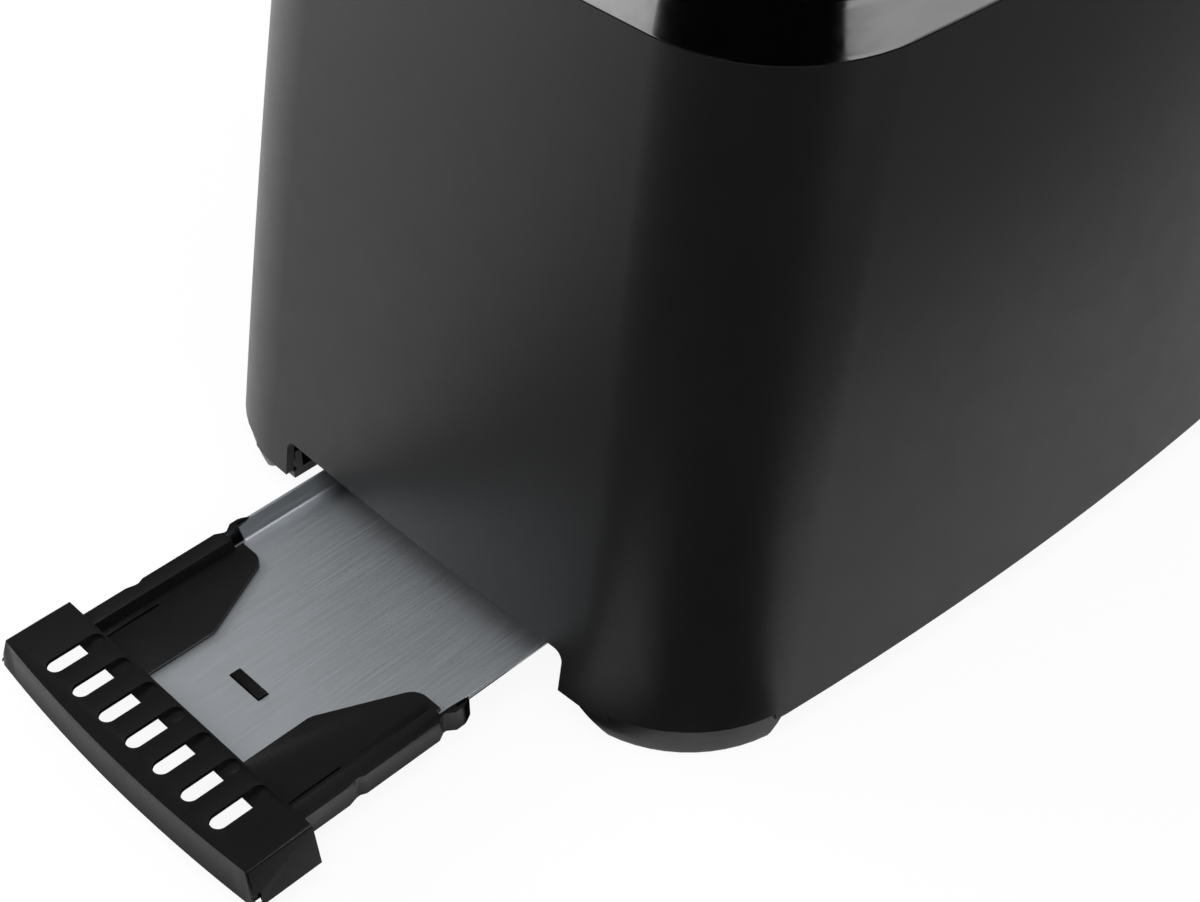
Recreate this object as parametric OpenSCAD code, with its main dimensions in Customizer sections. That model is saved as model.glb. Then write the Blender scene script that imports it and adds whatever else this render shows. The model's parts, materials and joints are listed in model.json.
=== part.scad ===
// Two-slot pop-up toaster with a pull-out crumb tray, built as an assembly.
// Millimetres, +Z up. -X is the crumb-tray end and +X is the control end. The tray is
// drawn pulled out, and the origin is on the table under the middle of the whole, so
// every piece is drawn about the body's own middle and then placed along X.

/* [Body] */
// Length of the body at its lower edge
body_l = 340; // [300:1:380]
// Width of the body at its lower edge
body_w = 205; // [190:1:230]
// Height of the shell's lower edge above the table
shell_z0 = 8.5; // [8:0.1:10]
// Height of the shell's upper edge above the table
shell_z1 = 173; // [168:0.5:185]
// How far each end leans in over the shell's height
end_taper = 29; // [20:1:34]
// How far each side leans in over the shell's height
side_taper = 11; // [6:1:16]
// Radius of the bowed long sides in plan
side_bow_r = 1080; // [900:10:2000]
// Radius of the bowed ends in plan
end_bow_r = 1500; // [1200:10:2500]
// Radius of the upright corners
corner_r = 38; // [32:1:44]
// Wall of the moulded shell
shell_wall = 2.4; // [2:0.1:3]

/* [Top cover] */
// Height of the polished cover above the shell's edge
cover_h = 19; // [15:0.5:24]
// Radius of the cover's rounded shoulder
cover_shoulder_r = 9; // [6:0.5:11]
// Thickness of the cover's sheet
cover_t = 1.2; // [1:0.1:1.8]
// Shadow gap between the cover and the shell
cover_gap = 0.2; // [0.1:0.05:0.5]

/* [Bread slots] */
// Length of each bread slot
slot_l = 180; // [160:1:190]
// Width of each bread slot
slot_w = 32; // [28:1:34]
// Distance between the two slots' centre lines
slot_pitch = 52; // [50:1:56]
// Middle of the slots along the body
slot_x = -14; // [-18:1:-8]
// Radius of the slots' corners
slot_r = 6; // [4:0.5:8]
// Depth of the turned-down lip round each slot
slot_lip = 7.6; // [5:0.1:9]

/* [Crumb tray] */
// How far the tray is drawn out as shown
tray_out = 89.6; // [60:0.1:100]
// Half width of the pan across its turned-up rims
pan_half_w = 41.9; // [38:0.1:43]
// Length of the pan
pan_l = 230; // [200:1:234]
// Sheet thickness of the pan
pan_t = 0.6; // [0.5:0.05:0.8]
// Height of the pan's floor above the table, on top
pan_floor_z = 9.3; // [9.2:0.05:9.6]
// Height of the pan's rims above its floor
pan_rim_h = 3.9; // [3:0.1:4.2]
// How far the pan's side rims lean out over their height
pan_rim_lean = 2.7; // [1.5:0.1:3]
// Height of the handle's top above the table
handle_z = 15.5; // [15:0.1:17]
// Height of the handle's front band
handle_h = 7.8; // [7:0.1:8]
// Half width of the handle's top
handle_top_half_w = 45.5; // [44:0.1:47]
// Half width of the handle at its lower edge
handle_low_half_w = 50; // [48:0.1:50.6]
// Depth of the handle from front to back
handle_d = 22; // [20:0.1:24]
// Radius of the handle's bowed front
handle_bow_r = 482; // [300:1:800]
// Wall of the handle moulding
handle_wall = 1.8; // [1.5:0.1:2.1]
// Distance between the handle's slots
grip_pitch = 10.5; // [10:0.1:11]
// Number of slots in the handle
grip_count = 7; // [5:1:7]
// Width of each slot in the handle
grip_w = 4.5; // [4:0.1:5]
// Length of each slot in the handle
grip_l = 15.4; // [13:0.1:15.6]
// Length of the arms behind the handle
arm_l = 45; // [40:0.5:50]

/* [Lift] */
// Travel of the lever and the bread racks
lift_travel = 72; // [60:1:76]
// Height of the bread racks' top when up
rack_z = 100; // [98:1:104]
// Radius of the guide rod
rod_r = 3; // [2.5:0.1:3.5]
// Radial running clearance of the lift's bush and of every turning shaft
run_gap = 0.05; // [0.03:0.01:0.08]
// Radius of the guide cages' wires
wire_r = 1; // [0.9:0.05:1.2]
// Number of upright wires on each guide cage
wire_count = 9; // [7:1:11]

/* [Controls] */
// Half width of the control panel
panel_half_w = 46; // [44:0.5:50]
// Height of the control panel's lower edge
panel_z0 = 34; // [30:1:38]
// Height of the control panel's upper edge
panel_z1 = 158; // [154:1:160]
// Wall of the bezel round the panel
bezel_wall = 2.5; // [2:0.1:3.5]
// Radius of the browning dial
dial_r = 13; // [11:0.5:14]
// Width of each push button
button_w = 22; // [18:0.5:24]
// Height of each push button
button_h = 11; // [9:0.5:12]
// Travel of each push button
button_travel = 2.5; // [1.5:0.1:3]

/* [Hidden] */

// Fine enough for every round that matters
$fn = 48;
eps = 0.01;

// --- shell form ---
half_l = body_l / 2;
half_w = body_w / 2;
shell_h = shell_z1 - shell_z0;
cover_z1 = shell_z1 + cover_h;
// Segments of the plan outline in each quarter: end, corner, side
seg_end = 2;
seg_corner = 9;
seg_side = 5;
// Levels of the loft up the shell
shell_levels = 5;

// Share of the taper reached at height z; the profile is slightly barrelled
function lean(z) = let (t = (z - shell_z0) / shell_h) 0.9 * t + 0.1 * t * t;
function end_x(z) = half_l - end_taper * lean(z);
function side_y(z) = half_w - side_taper * lean(z);

// Point i of n on an arc about c, from angle a0 to a1
function arc_point(c, r, a0, a1, i, n) =
    let (a = a0 + (a1 - a0) * i / n) [c.x + r * cos(a), c.y + r * sin(a)];

// Centre of the corner arc that touches the end's arc at x = a and the side's at y = b
function corner_centre(a, b) =
    let (ps = [0, b - side_bow_r], pe = [a - end_bow_r, 0],
        r1 = side_bow_r - corner_r, r2 = end_bow_r - corner_r,
        d = pe - ps, len = norm(d), u = d / len,
        h = (r1 * r1 - r2 * r2 + len * len) / (2 * len),
        k = sqrt(r1 * r1 - h * h))
    ps + h * u + k * [u.y, -u.x];

// One quarter of the plan: end arc, corner arc and side arc, tangent to each other
function quarter(a, b, inset) =
    let (ps = [0, b - side_bow_r], pe = [a - end_bow_r, 0], c = corner_centre(a, b),
        ae = atan2(c.y - pe.y, c.x - pe.x),
        as = atan2(c.y - ps.y, c.x - ps.x))
    concat(
        [for (i = [0:seg_end - 1]) arc_point(pe, end_bow_r - inset, 0, ae, i, seg_end)],
        [for (i = [0:seg_corner - 1]) arc_point(c, corner_r - inset, ae, as, i, seg_corner)],
        [for (i = [0:seg_side - 1]) arc_point(ps, side_bow_r - inset, as, 90, i, seg_side)]);

// Closed plan outline from its quarter
function full_plan(q, b) =
    let (n = len(q))
    concat(q,
        [[0, b]], [for (i = [n - 1:-1:1]) [-q[i].x, q[i].y]],
        [for (p = q) -p],
        [[0, -b]], [for (i = [n - 1:-1:1]) [q[i].x, -q[i].y]]);

// Plan of the body at height z, moved inwards by inset
function plan(z, inset) = full_plan(quarter(end_x(z), side_y(z), inset), side_y(z) - inset);
function ring(z, at_z, inset) = [for (p = plan(at_z, inset)) [p.x, p.y, z]];

// Closed solid through a stack of rings with equal numbers of points
module loft(rings) {
    n = len(rings[0]);
    m = len(rings);
    polyhedron(
        points = [for (r = rings, p = r) p],
        faces = concat(
            [[for (i = [0:n - 1]) i]],
            [for (j = [0:m - 2], i = [0:n - 1])
                [j * n + i, (j + 1) * n + (i + 1) % n, j * n + (i + 1) % n]],
            [for (j = [0:m - 2], i = [0:n - 1])
                [j * n + i, (j + 1) * n + i, (j + 1) * n + (i + 1) % n]],
            [[for (i = [n - 1:-1:0]) (m - 1) * n + i]]),
        convexity = 4);
}

// The body's solid form between two heights, moved inwards by inset
module body_form(z0, z1, inset, levels) {
    loft([for (j = [0:levels]) let (z = z0 + (z1 - z0) * j / levels) ring(z, z, inset)]);
}

// Rectangle with rounded corners, as exact prisms: x by y by z, centred in x and y
module rounded_prism(x, y, z, r) {
    translate([-x / 2, -y / 2 + r, 0]) cube([x, y - 2 * r, z]);
    translate([-x / 2 + r, -y / 2, 0]) cube([x - 2 * r, y, z]);
    for (sx = [-1, 1], sy = [-1, 1])
        translate([sx * (x / 2 - r), sy * (y / 2 - r), 0]) cylinder(r = r, h = z);
}

// The same, standing on the YZ plane and running along +X
module rounded_prism_x(y, z, x, r) {
    rotate([90, 0, 90]) rounded_prism(y, z, x, r);
}

// Puts a piece drawn about the body's middle at its place in the whole
module placed() {
    translate([body_x, 0, 0]) children();
}

// Places children at both bread slots
module at_slots() {
    for (s = [-1, 1])
        translate([slot_x, s * slot_pitch / 2, 0]) children();
}

// --- base ---
fit_gap = 0.3;
base_t = 2.6;
base_z1 = shell_z0 - fit_gap;
base_z0 = base_z1 - base_t;
base_rim_h = 6;
base_rim_t = 2;
foot_z = 1.2;
foot_span_x = 31;
foot_span_y = 36;
foot_draft = 4;
pad_r = 7;
pad_h = 1.5;
pad_reach = 25.7;
// Shell bosses and their screws stand over the feet
boss_r = 5;
boss_h = 22;
boss_reach = 28.6;
// Place of the pads and bosses: out from the corner arc's centre, along its diagonal
pad_x = corner_centre(half_l, half_w).x + pad_reach * cos(45);
pad_y = corner_centre(half_l, half_w).y + pad_reach * sin(45);
boss_x = corner_centre(half_l, half_w).x + boss_reach * cos(45);
boss_y = corner_centre(half_l, half_w).y + boss_reach * sin(45);
screw_r = 1.5;
screw_head_r = 3.2;
screw_head_h = 2.2;
screw_gap = 0.1;

// --- tray ---
// Middle of the handle's row of slots, as drawn and with the tray pushed home
handle_front = 10.6;
handle_back = handle_d - handle_front;
tray_home_x = -half_l + handle_front;
tray_x = tray_home_x - tray_out;
// With the tray out, the middle of the whole lies this far from the body's middle
body_x = tray_out / 2;
handle_low_z = handle_z - handle_h;
grip_front = 5;
slit_w = 1.2;
slit_h = 1.6;
pan_front = 5;
arm_end = handle_back + arm_l;
arm_half_w = pan_half_w + 0.7;
// Dents in the arms' outer line, and the barbs at their ends that stop the tray
arm_dent = 0.65;
arm_dent_x = handle_back + 13;
barb_l = 8;
barb_dip = 1.2;
barb_proud = 0.3;
barb_tip = arm_end + 1.2;
// The pan's rims start behind the arms' barbs; in front of them it is only a floor
arm_foot_y = pan_half_w - 1.2;
pan_wide_x = barb_tip + 0.4;
pan_low_half_w = pan_half_w - pan_rim_lean;
// Sheet thickness of a leaning rim, measured level
rim_level_t = pan_t * norm([pan_rim_lean, pan_rim_h + pan_t]) / (pan_rim_h + pan_t);
arm_top_z = pan_floor_z + pan_rim_h;
arm_low_z = base_z1 + fit_gap;
pocket_x = 5.4;
web_z = pan_floor_z + 0.1;
web_t = 1;
window_x = 27;
window_l = 3.3;
window_half_w = 5.7;
tongue_t = 0.9;
tongue_half_w = 7;
tongue_x = pocket_x;
tongue_root = 3;
tongue_z = pan_floor_z - pan_t - 0.1 - tongue_t;

// Opening for the tray in the shell's end
mouth_half_w = handle_low_half_w + 1.4;
mouth_z1 = handle_z + 4.3;
mouth_r = 3;
// Channel in the base that guides the tray
channel_half_w = arm_half_w + barb_proud + 1.3;
channel_t = 2.5;
channel_z1 = arm_top_z + 2.3;
channel_lip = 3.2;
channel_x0 = tray_home_x + handle_back + 3;
channel_x1 = tray_home_x + pan_front + pan_l + 4;

// --- chamber ---
sheet = 1;
chamber_x0 = slot_x - slot_l / 2 - 9;
chamber_x1 = slot_x + slot_l / 2 + 9;
chamber_half_w = slot_pitch / 2 + slot_w / 2 + 14;
chamber_z0 = channel_z1 + 3;
chamber_z1 = cover_z1 - slot_lip - sheet;
board_t = 0.8;
board_y = slot_pitch / 2 + slot_w / 2 + 5;
board_z0 = chamber_z0 + 7;
board_z1 = chamber_z1 - 17;
ribbon_t = 0.3;
ribbon_w = 1.6;
ribbon_rows = 11;
guide_outer_y = slot_pitch / 2 + slot_w / 2 + 1;
guide_inner_y = slot_pitch / 2 - slot_w / 2 - 1;
guide_z0 = chamber_z0 + 5;
guide_z1 = board_z1;

// --- lift ---
rack_t = 1.5;
rack_h = 8;
rack_reach = 4;
finger_count = 9;
finger_half_w = 7;
carriage_x = chamber_x1 + 8;
carriage_t = 1.2;
// The carriage hangs below the racks' top and reaches up to the spring and the lever
carriage_drop = 16;
carriage_rise = 46;
carriage_z0 = rack_z - carriage_drop;
carriage_z1 = rack_z + carriage_rise;
rod_x = carriage_x + 8;
rod_y = 16;
rod_z0 = base_z1 + 1;
rod_z1 = chamber_z1 - 8;
bracket_z = rod_z1 - 4;
bush_r = 5.5;
bush_z0 = rack_z - 1;
bush_h = 24;
spring_y = -22;
spring_z0 = rack_z + 30;
spring_r = 4;
spring_wire_r = 0.6;
arm_z = rack_z + 39;
arm_h = 6;
arm_t = 3;
magnet_h = 28;
magnet_z1 = base_z1 + magnet_h;
catch_t = 2;
catch_z = magnet_z1 + 0.4 + lift_travel;
catch_x0 = carriage_x + 4;
catch_len = 13;
catch_y = -4;
catch_half_w = 7;

// --- controls ---
panel_x = end_x(panel_z1) + 0.6;
panel_t = 2.5;
panel_r = 8;
bezel_proud = 1;
knob_gap = 3;
knob_l = 18;
knob_half_w = 14;
knob_h = 14;
dial_y = 28;
dial_z = panel_z0 + 30;
dial_h = 14;
dial_gap = 2;
shaft_r = 3;
bushing_r = 4.6;
button_y = -28;
button_pitch = 20;
button_z0 = panel_z0 + 24;
button_proud = 4;
button_flange = 1.5;
board_gap = 11;
pcb_t = 1.6;

// ============================ base ============================

// Drafted corner block that keeps only a foot's stretch of the plan
module foot_block(sx, sy) {
    x0 = half_l - foot_span_x;
    y0 = half_w - foot_span_y;
    hull() {
        translate([min(sx * x0, sx * half_l), min(sy * y0, sy * half_w), base_z1 - eps])
            cube([foot_span_x, foot_span_y, eps]);
        translate([min(sx * (x0 + foot_draft), sx * half_l),
                min(sy * (y0 + foot_draft), sy * half_w), foot_z])
            cube([foot_span_x - foot_draft, foot_span_y - foot_draft, eps]);
    }
}

module corner_feet() {
    intersection() {
        loft([ring(foot_z, shell_z0, 5), ring(foot_z + 1.2, shell_z0, 3.2),
            ring(foot_z + 3, shell_z0, 2.3), ring(base_z1, shell_z0, 1.6)]);
        union() for (sx = [-1, 1], sy = [-1, 1]) foot_block(sx, sy);
    }
}

module base_plate() placed() color([0.13, 0.13, 0.14]) {
    difference() {
        union() {
            translate([0, 0, base_z0]) linear_extrude(base_t)
                polygon(plan(shell_z0, shell_wall + fit_gap));
            // Upstanding rim inside the shell
            translate([0, 0, base_z1]) linear_extrude(base_rim_h) difference() {
                polygon(plan(shell_z0 + base_rim_h, shell_wall + fit_gap));
                polygon(plan(shell_z0 + base_rim_h, shell_wall + fit_gap + base_rim_t));
            }
            corner_feet();
            // Channel walls with lips over the tray's rims
            for (s = [0, 1]) mirror([0, s, 0]) {
                translate([channel_x0, channel_half_w, base_z1])
                    cube([channel_x1 - channel_x0, channel_t, channel_z1 - base_z1]);
                translate([channel_x0, channel_half_w - channel_lip, channel_z1 - 1.5])
                    cube([channel_x1 - channel_x0, channel_lip + eps, 1.5]);
            }
            // Socket for the guide rod
            translate([rod_x, rod_y, base_z1]) cylinder(r = rod_r + 3, h = 8);
        }
        translate([rod_x, rod_y, rod_z0]) cylinder(r = rod_r + run_gap, h = 20);
        // The tray's mouth: no rim, and a lowered floor under the handle and its tongue
        translate([-half_l, -mouth_half_w, base_z1 - 1])
            cube([channel_x0 - 0.5 + half_l, 2 * mouth_half_w, 20]);
        translate([channel_x0 - 1, -tongue_half_w - 1.5, base_z1 - 1])
            cube([40, 2 * tongue_half_w + 3, 2]);
        // Cooling slots
        for (x = [-60:20:60], s = [-1, 1])
            translate([x, s * (channel_half_w + 22), base_z0 - 1])
                rounded_prism(5, 26, base_t + 2, 2.4);
        // Screw holes with recesses for the heads, closed by the pads
        for (sx = [-1, 1], sy = [-1, 1]) translate([sx * boss_x, sy * boss_y, 0]) {
            translate([0, 0, foot_z - 1]) cylinder(r = screw_head_r + 0.3, h = 4);
            cylinder(r = screw_r + 0.2, h = base_z1 + 1);
            translate([0, 0, base_z1]) cylinder(r = boss_r + fit_gap, h = base_rim_h + 1);
        }
        for (sx = [-1, 1], sy = [-1, 1])
            translate([sx * pad_x, sy * pad_y, foot_z - 1]) cylinder(r = pad_r + 0.05, h = 1 + 0.3);
        translate([gland_x, gland_y, base_z0 - 1]) cylinder(r = gland_r + 0.05, h = base_t + 2);
    }
}

module foot_pads() placed() color([0.08, 0.08, 0.08])
    for (sx = [-1, 1], sy = [-1, 1])
        translate([sx * pad_x, sy * pad_y, 0]) cylinder(r = pad_r, h = pad_h);

module base_screws() placed() color([0.62, 0.62, 0.64])
    for (sx = [-1, 1], sy = [-1, 1]) translate([sx * boss_x, sy * boss_y, foot_z + 0.8]) {
        cylinder(r = screw_head_r, h = screw_head_h);
        cylinder(r = screw_r, h = 18);
    }

// Cord outlet bush in the floor near the control end
gland_x = half_l - 45;
gland_y = 52;
gland_r = 6;
gland_bore_r = 3.3;
module cord_gland() placed() color([0.1, 0.1, 0.1]) translate([gland_x, gland_y, base_z0 - 1.5])
    difference() {
        union() {
            cylinder(r = gland_r + 2, h = 1.5);
            cylinder(r = gland_r, h = 10);
            translate([0, 0, 1.5 + base_t + 0.1]) cylinder(r = gland_r + 1, h = 1.6);
        }
        translate([0, 0, -1]) cylinder(r = gland_bore_r, h = 12);
    }

// ============================ shell and cover ============================

module outer_shell() placed() color([0.16, 0.16, 0.17])
    difference() {
        union() {
            difference() {
                body_form(shell_z0, shell_z1, 0, shell_levels);
                body_form(shell_z0 - 1, shell_z1 + 1, shell_wall, shell_levels);
            }
            for (sx = [-1, 1], sy = [-1, 1])
                translate([sx * boss_x, sy * boss_y, base_z1]) cylinder(r = boss_r, h = boss_h);
        }
        for (sx = [-1, 1], sy = [-1, 1])
            translate([sx * boss_x, sy * boss_y, base_z1 - 1])
                cylinder(r = screw_r + screw_gap, h = boss_h - 3);
        // Tray mouth
        translate([-half_l - 5, -mouth_half_w, 0]) cube([25, 2 * mouth_half_w, mouth_z1 - mouth_r]);
        translate([-half_l - 5, -mouth_half_w + mouth_r, 0])
            cube([25, 2 * (mouth_half_w - mouth_r), mouth_z1]);
        for (s = [-1, 1])
            translate([-half_l - 5, s * (mouth_half_w - mouth_r), mouth_z1 - mouth_r])
                rotate([0, 90, 0]) cylinder(r = mouth_r, h = 25);
        // Window for the control bezel
        bezel_blank(0.2, 60);
    }

// Cover's shoulder: level j of n, as height and inset, for a wall moved inwards by w
function shoulder(j, n, w) =
    let (r = cover_shoulder_r - w, a = 90 * j / n)
    [cover_z1 - cover_shoulder_r + r * sin(a), cover_lean + w + r * (1 - cos(a))];
cover_lean = 2.2;
cover_z0 = shell_z1 + cover_gap;
shoulder_levels = 5;
skirt_h = 7;

module cover_form(z_low, w) {
    loft(concat(
        [ring(z_low, shell_z1, w)],
        [for (j = [0:shoulder_levels]) let (s = shoulder(j, shoulder_levels, w))
            ring(s[0], shell_z1, s[1])]));
}

module top_cover() placed() color([0.42, 0.42, 0.44])
    difference() {
        union() {
            difference() {
                cover_form(cover_z0, 0);
                cover_form(cover_z0 - 1, cover_t);
            }
            // Skirt that drops inside the shell
            difference() {
                body_form(shell_z1 - skirt_h, cover_z0 + 1.5, shell_wall + fit_gap, 1);
                body_form(shell_z1 - skirt_h - 1, cover_z0 + 2.5, shell_wall + fit_gap + cover_t, 1);
            }
            // Ledge that joins the skirt to the cover's wall
            translate([0, 0, cover_z0]) linear_extrude(1.5) difference() {
                polygon(plan(shell_z1, cover_t / 2));
                polygon(plan(shell_z1, shell_wall + fit_gap + cover_t / 2));
            }
            at_slots() translate([0, 0, cover_z1 - slot_lip])
                rounded_prism(slot_l + 2 * cover_t, slot_w + 2 * cover_t, slot_lip - cover_t / 2,
                    slot_r + cover_t);
        }
        at_slots() translate([0, 0, cover_z1 - slot_lip - 1])
            rounded_prism(slot_l, slot_w, slot_lip + 2, slot_r);
    }

// ============================ heating chamber ============================

module chamber_top() placed() color([0.7, 0.7, 0.71])
    difference() {
        translate([chamber_x0 - sheet, -chamber_half_w - sheet, chamber_z1])
            cube([chamber_x1 - chamber_x0 + 2 * sheet, 2 * (chamber_half_w + sheet), sheet]);
        at_slots() translate([0, 0, chamber_z1 - 1])
            rounded_prism(slot_l + 1, slot_w + 1, sheet + 2, slot_r);
    }

// End plate of the chamber: stands on the base either side of the tray channel
module end_plate(x) {
    difference() {
        translate([x, -chamber_half_w - sheet, base_z1])
            cube([sheet, 2 * (chamber_half_w + sheet), chamber_z1 - base_z1]);
        translate([x - 1, -channel_half_w - channel_t - 0.5, base_z1 - 1])
            cube([sheet + 2, 2 * (channel_half_w + channel_t + 0.5), chamber_z0 - base_z1 + 1]);
        // Upright slots for the bread racks
        for (s = [-1, 1])
            translate([x - 1, s * slot_pitch / 2 - rack_t / 2 - 1, chamber_z0 - 1])
                cube([sheet + 2, rack_t + 2, rack_z + 8 - chamber_z0]);
        // Pivot holes of the guide cages
        for (y = [-guide_outer_y, -guide_inner_y, guide_inner_y, guide_outer_y])
            translate([x - 1, y, guide_z0]) rotate([0, 90, 0])
                cylinder(r = wire_r + run_gap, h = sheet + 2);
    }
}

module front_plate() placed() color([0.7, 0.7, 0.71]) end_plate(chamber_x0 - sheet);
module rear_plate() placed() color([0.7, 0.7, 0.71]) end_plate(chamber_x1);

// Side reflector with a row of cooling slots and a pressed stiffening rib
module reflector(s) {
    mirror([0, s < 0 ? 1 : 0, 0]) difference() {
        union() {
            translate([chamber_x0, chamber_half_w, chamber_z0])
                cube([chamber_x1 - chamber_x0, sheet, chamber_z1 - chamber_z0]);
            for (z = [board_z0 + 20, board_z1 - 20])
                translate([chamber_x0 + 10, chamber_half_w + sheet - eps, z])
                    cube([chamber_x1 - chamber_x0 - 20, 1.5, 5]);
        }
        for (i = [0:7])
            translate([chamber_x0 + 20 + i * (chamber_x1 - chamber_x0 - 40) / 7,
                    chamber_half_w - 1, chamber_z0 + 8])
                translate([-2, 0, 0]) cube([4, sheet + 2, 12]);
    }
}
module reflector_left() placed() color([0.72, 0.72, 0.73]) reflector(1);
module reflector_right() placed() color([0.72, 0.72, 0.73]) reflector(-1);

module heater_board(y)
    translate([chamber_x0, y - board_t / 2, board_z0])
        cube([chamber_x1 - chamber_x0, board_t, board_z1 - board_z0]);
module heater_board_left() placed() color([0.75, 0.7, 0.6]) heater_board(board_y);
module heater_board_centre() placed() color([0.75, 0.7, 0.6]) heater_board(0);
module heater_board_right() placed() color([0.75, 0.7, 0.6]) heater_board(-board_y);

// Flat heating ribbon laid back and forth over one face of a board, seen from +Y
module ribbon(y) {
    x0 = chamber_x0 + 6;
    x1 = chamber_x1 - 6;
    pitch = (board_z1 - board_z0 - 12) / (ribbon_rows - 1);
    for (i = [0:ribbon_rows - 1])
        translate([x0, y, board_z0 + 6 + i * pitch - ribbon_w / 2]) cube([x1 - x0, ribbon_t, ribbon_w]);
    for (i = [0:ribbon_rows - 2])
        translate([i % 2 == 0 ? x1 - ribbon_w : x0, y, board_z0 + 6 + i * pitch])
            cube([ribbon_w, ribbon_t, pitch]);
}
module heating_ribbon_left() placed() color([0.55, 0.45, 0.4]) ribbon(board_y - board_t / 2 - ribbon_t);
module heating_ribbon_right() placed() color([0.55, 0.45, 0.4]) ribbon(-board_y + board_t / 2);
module heating_ribbon_centre() placed() color([0.55, 0.45, 0.4]) {
    ribbon(board_t / 2);
    ribbon(-board_t / 2 - ribbon_t);
}

// Wire cage that pivots on its lower rod; its upper rod leans towards the bread
module bread_guide(y) {
    rod_reach = sheet + 2;
    span = slot_l - 12;
    translate([chamber_x0 - rod_reach, y, guide_z0]) rotate([0, 90, 0])
        cylinder(r = wire_r, h = chamber_x1 - chamber_x0 + 2 * rod_reach);
    translate([slot_x - span / 2 - 3, y, guide_z1]) rotate([0, 90, 0])
        cylinder(r = wire_r, h = span + 6);
    for (i = [0:wire_count - 1])
        translate([slot_x - span / 2 + i * span / (wire_count - 1), y, guide_z0])
            cylinder(r = wire_r - 0.1, h = guide_z1 - guide_z0);
}
module bread_guide_left_outer() placed() color([0.78, 0.78, 0.8]) bread_guide(guide_outer_y);
module bread_guide_left_inner() placed() color([0.78, 0.78, 0.8]) bread_guide(guide_inner_y);
module bread_guide_right_inner() placed() color([0.78, 0.78, 0.8]) bread_guide(-guide_inner_y);
module bread_guide_right_outer() placed() color([0.78, 0.78, 0.8]) bread_guide(-guide_outer_y);

// ============================ lift ============================

module guide_rod() placed() color([0.8, 0.8, 0.82])
    translate([rod_x, rod_y, rod_z0]) cylinder(r = rod_r, h = rod_z1 - rod_z0);

// Bracket on the rear plate that holds the rod's top and the spring's upper hook
module rod_bracket() placed() color([0.68, 0.68, 0.7])
    difference() {
        union() {
            translate([chamber_x1 + sheet, spring_y - 8, bracket_z])
                cube([rod_x - chamber_x1 + 6, rod_y - spring_y + 16, 1.5]);
            translate([chamber_x1 + sheet, spring_y - 8, bracket_z - 12])
                cube([1.5, rod_y - spring_y + 16, 12 + eps]);
        }
        translate([rod_x, rod_y, bracket_z - 1]) cylinder(r = rod_r + run_gap, h = 4);
    }

// Close-wound tension spring as a stack of rings with an eye at each end
module lift_spring() placed() color([0.75, 0.75, 0.76]) translate([rod_x, spring_y, 0]) {
    z0 = spring_z0 + 1.2 + 3;
    z1 = bracket_z - 3;
    turns = ceil((z1 - z0) / (2 * spring_wire_r * 0.95));
    pitch = (z1 - z0) / turns;
    for (i = [0:turns])
        translate([0, 0, z0 + i * pitch]) rotate_extrude($fn = 24)
            translate([spring_r - spring_wire_r, 0]) circle(r = spring_wire_r, $fn = 16);
    for (z = [spring_z0 + 1.2, z1])
        translate([spring_r - spring_wire_r, 0, z]) cylinder(r = spring_wire_r, h = 3);
}

// Sheet bracket that carries both racks, the bush, the catch plate and the lever arm
module carriage() placed() color([0.68, 0.68, 0.7])
    difference() {
        union() {
            translate([carriage_x, -slot_pitch / 2 - 8, carriage_z0])
                cube([carriage_t, slot_pitch + 16, rack_z + 4 - carriage_z0]);
            translate([carriage_x, spring_y - 6, carriage_z0])
                cube([carriage_t, rod_y - spring_y + 14, carriage_z1 - carriage_z0]);
            for (z = [bush_z0 - carriage_t, bush_z0 + bush_h])
                translate([carriage_x, rod_y - 8, z])
                    cube([rod_x - carriage_x + 8, 16, carriage_t]);
            translate([carriage_x, spring_y - 6, spring_z0]) cube([rod_x - carriage_x + 6, 12, carriage_t]);
            translate([carriage_x, catch_y - catch_half_w, catch_z + catch_t])
                cube([catch_x0 + catch_len - carriage_x, 2 * catch_half_w, carriage_t]);
        }
        translate([rod_x, rod_y, 0]) cylinder(r = rod_r + 0.6, h = rod_z1);
    }

module carriage_bush() placed() color([0.85, 0.82, 0.7])
    translate([rod_x, rod_y, bush_z0]) difference() {
        cylinder(r = bush_r, h = bush_h);
        translate([0, 0, -1]) cylinder(r = rod_r + run_gap, h = bush_h + 2);
    }

// Bread rack: a rail on edge with cross fingers, running through both end plates
module bread_rack(s) {
    x0 = chamber_x0 - sheet - rack_reach;
    span = slot_l - 20;
    translate([x0, s * slot_pitch / 2 - rack_t / 2, rack_z - rack_t - rack_h])
        cube([carriage_x - x0, rack_t, rack_h + rack_t]);
    for (i = [0:finger_count - 1])
        translate([slot_x - span / 2 + i * span / (finger_count - 1) - 1.5,
                s * slot_pitch / 2 - finger_half_w, rack_z - rack_t])
            cube([3, 2 * finger_half_w, rack_t]);
}
module bread_rack_left() placed() color([0.75, 0.75, 0.77]) bread_rack(1);
module bread_rack_right() placed() color([0.75, 0.75, 0.77]) bread_rack(-1);

module catch_plate() placed() color([0.5, 0.5, 0.52])
    translate([catch_x0, catch_y - catch_half_w, catch_z]) cube([catch_len, 2 * catch_half_w, catch_t]);

module lever_arm() placed() color([0.68, 0.68, 0.7]) {
    translate([carriage_x + carriage_t, -arm_t / 2, arm_z - arm_h / 2])
        cube([panel_x + knob_gap + 8 - carriage_x - carriage_t, arm_t, arm_h]);
    translate([carriage_x + carriage_t, -8, arm_z - arm_h / 2]) cube([1.2, 16, arm_h]);
}

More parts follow.
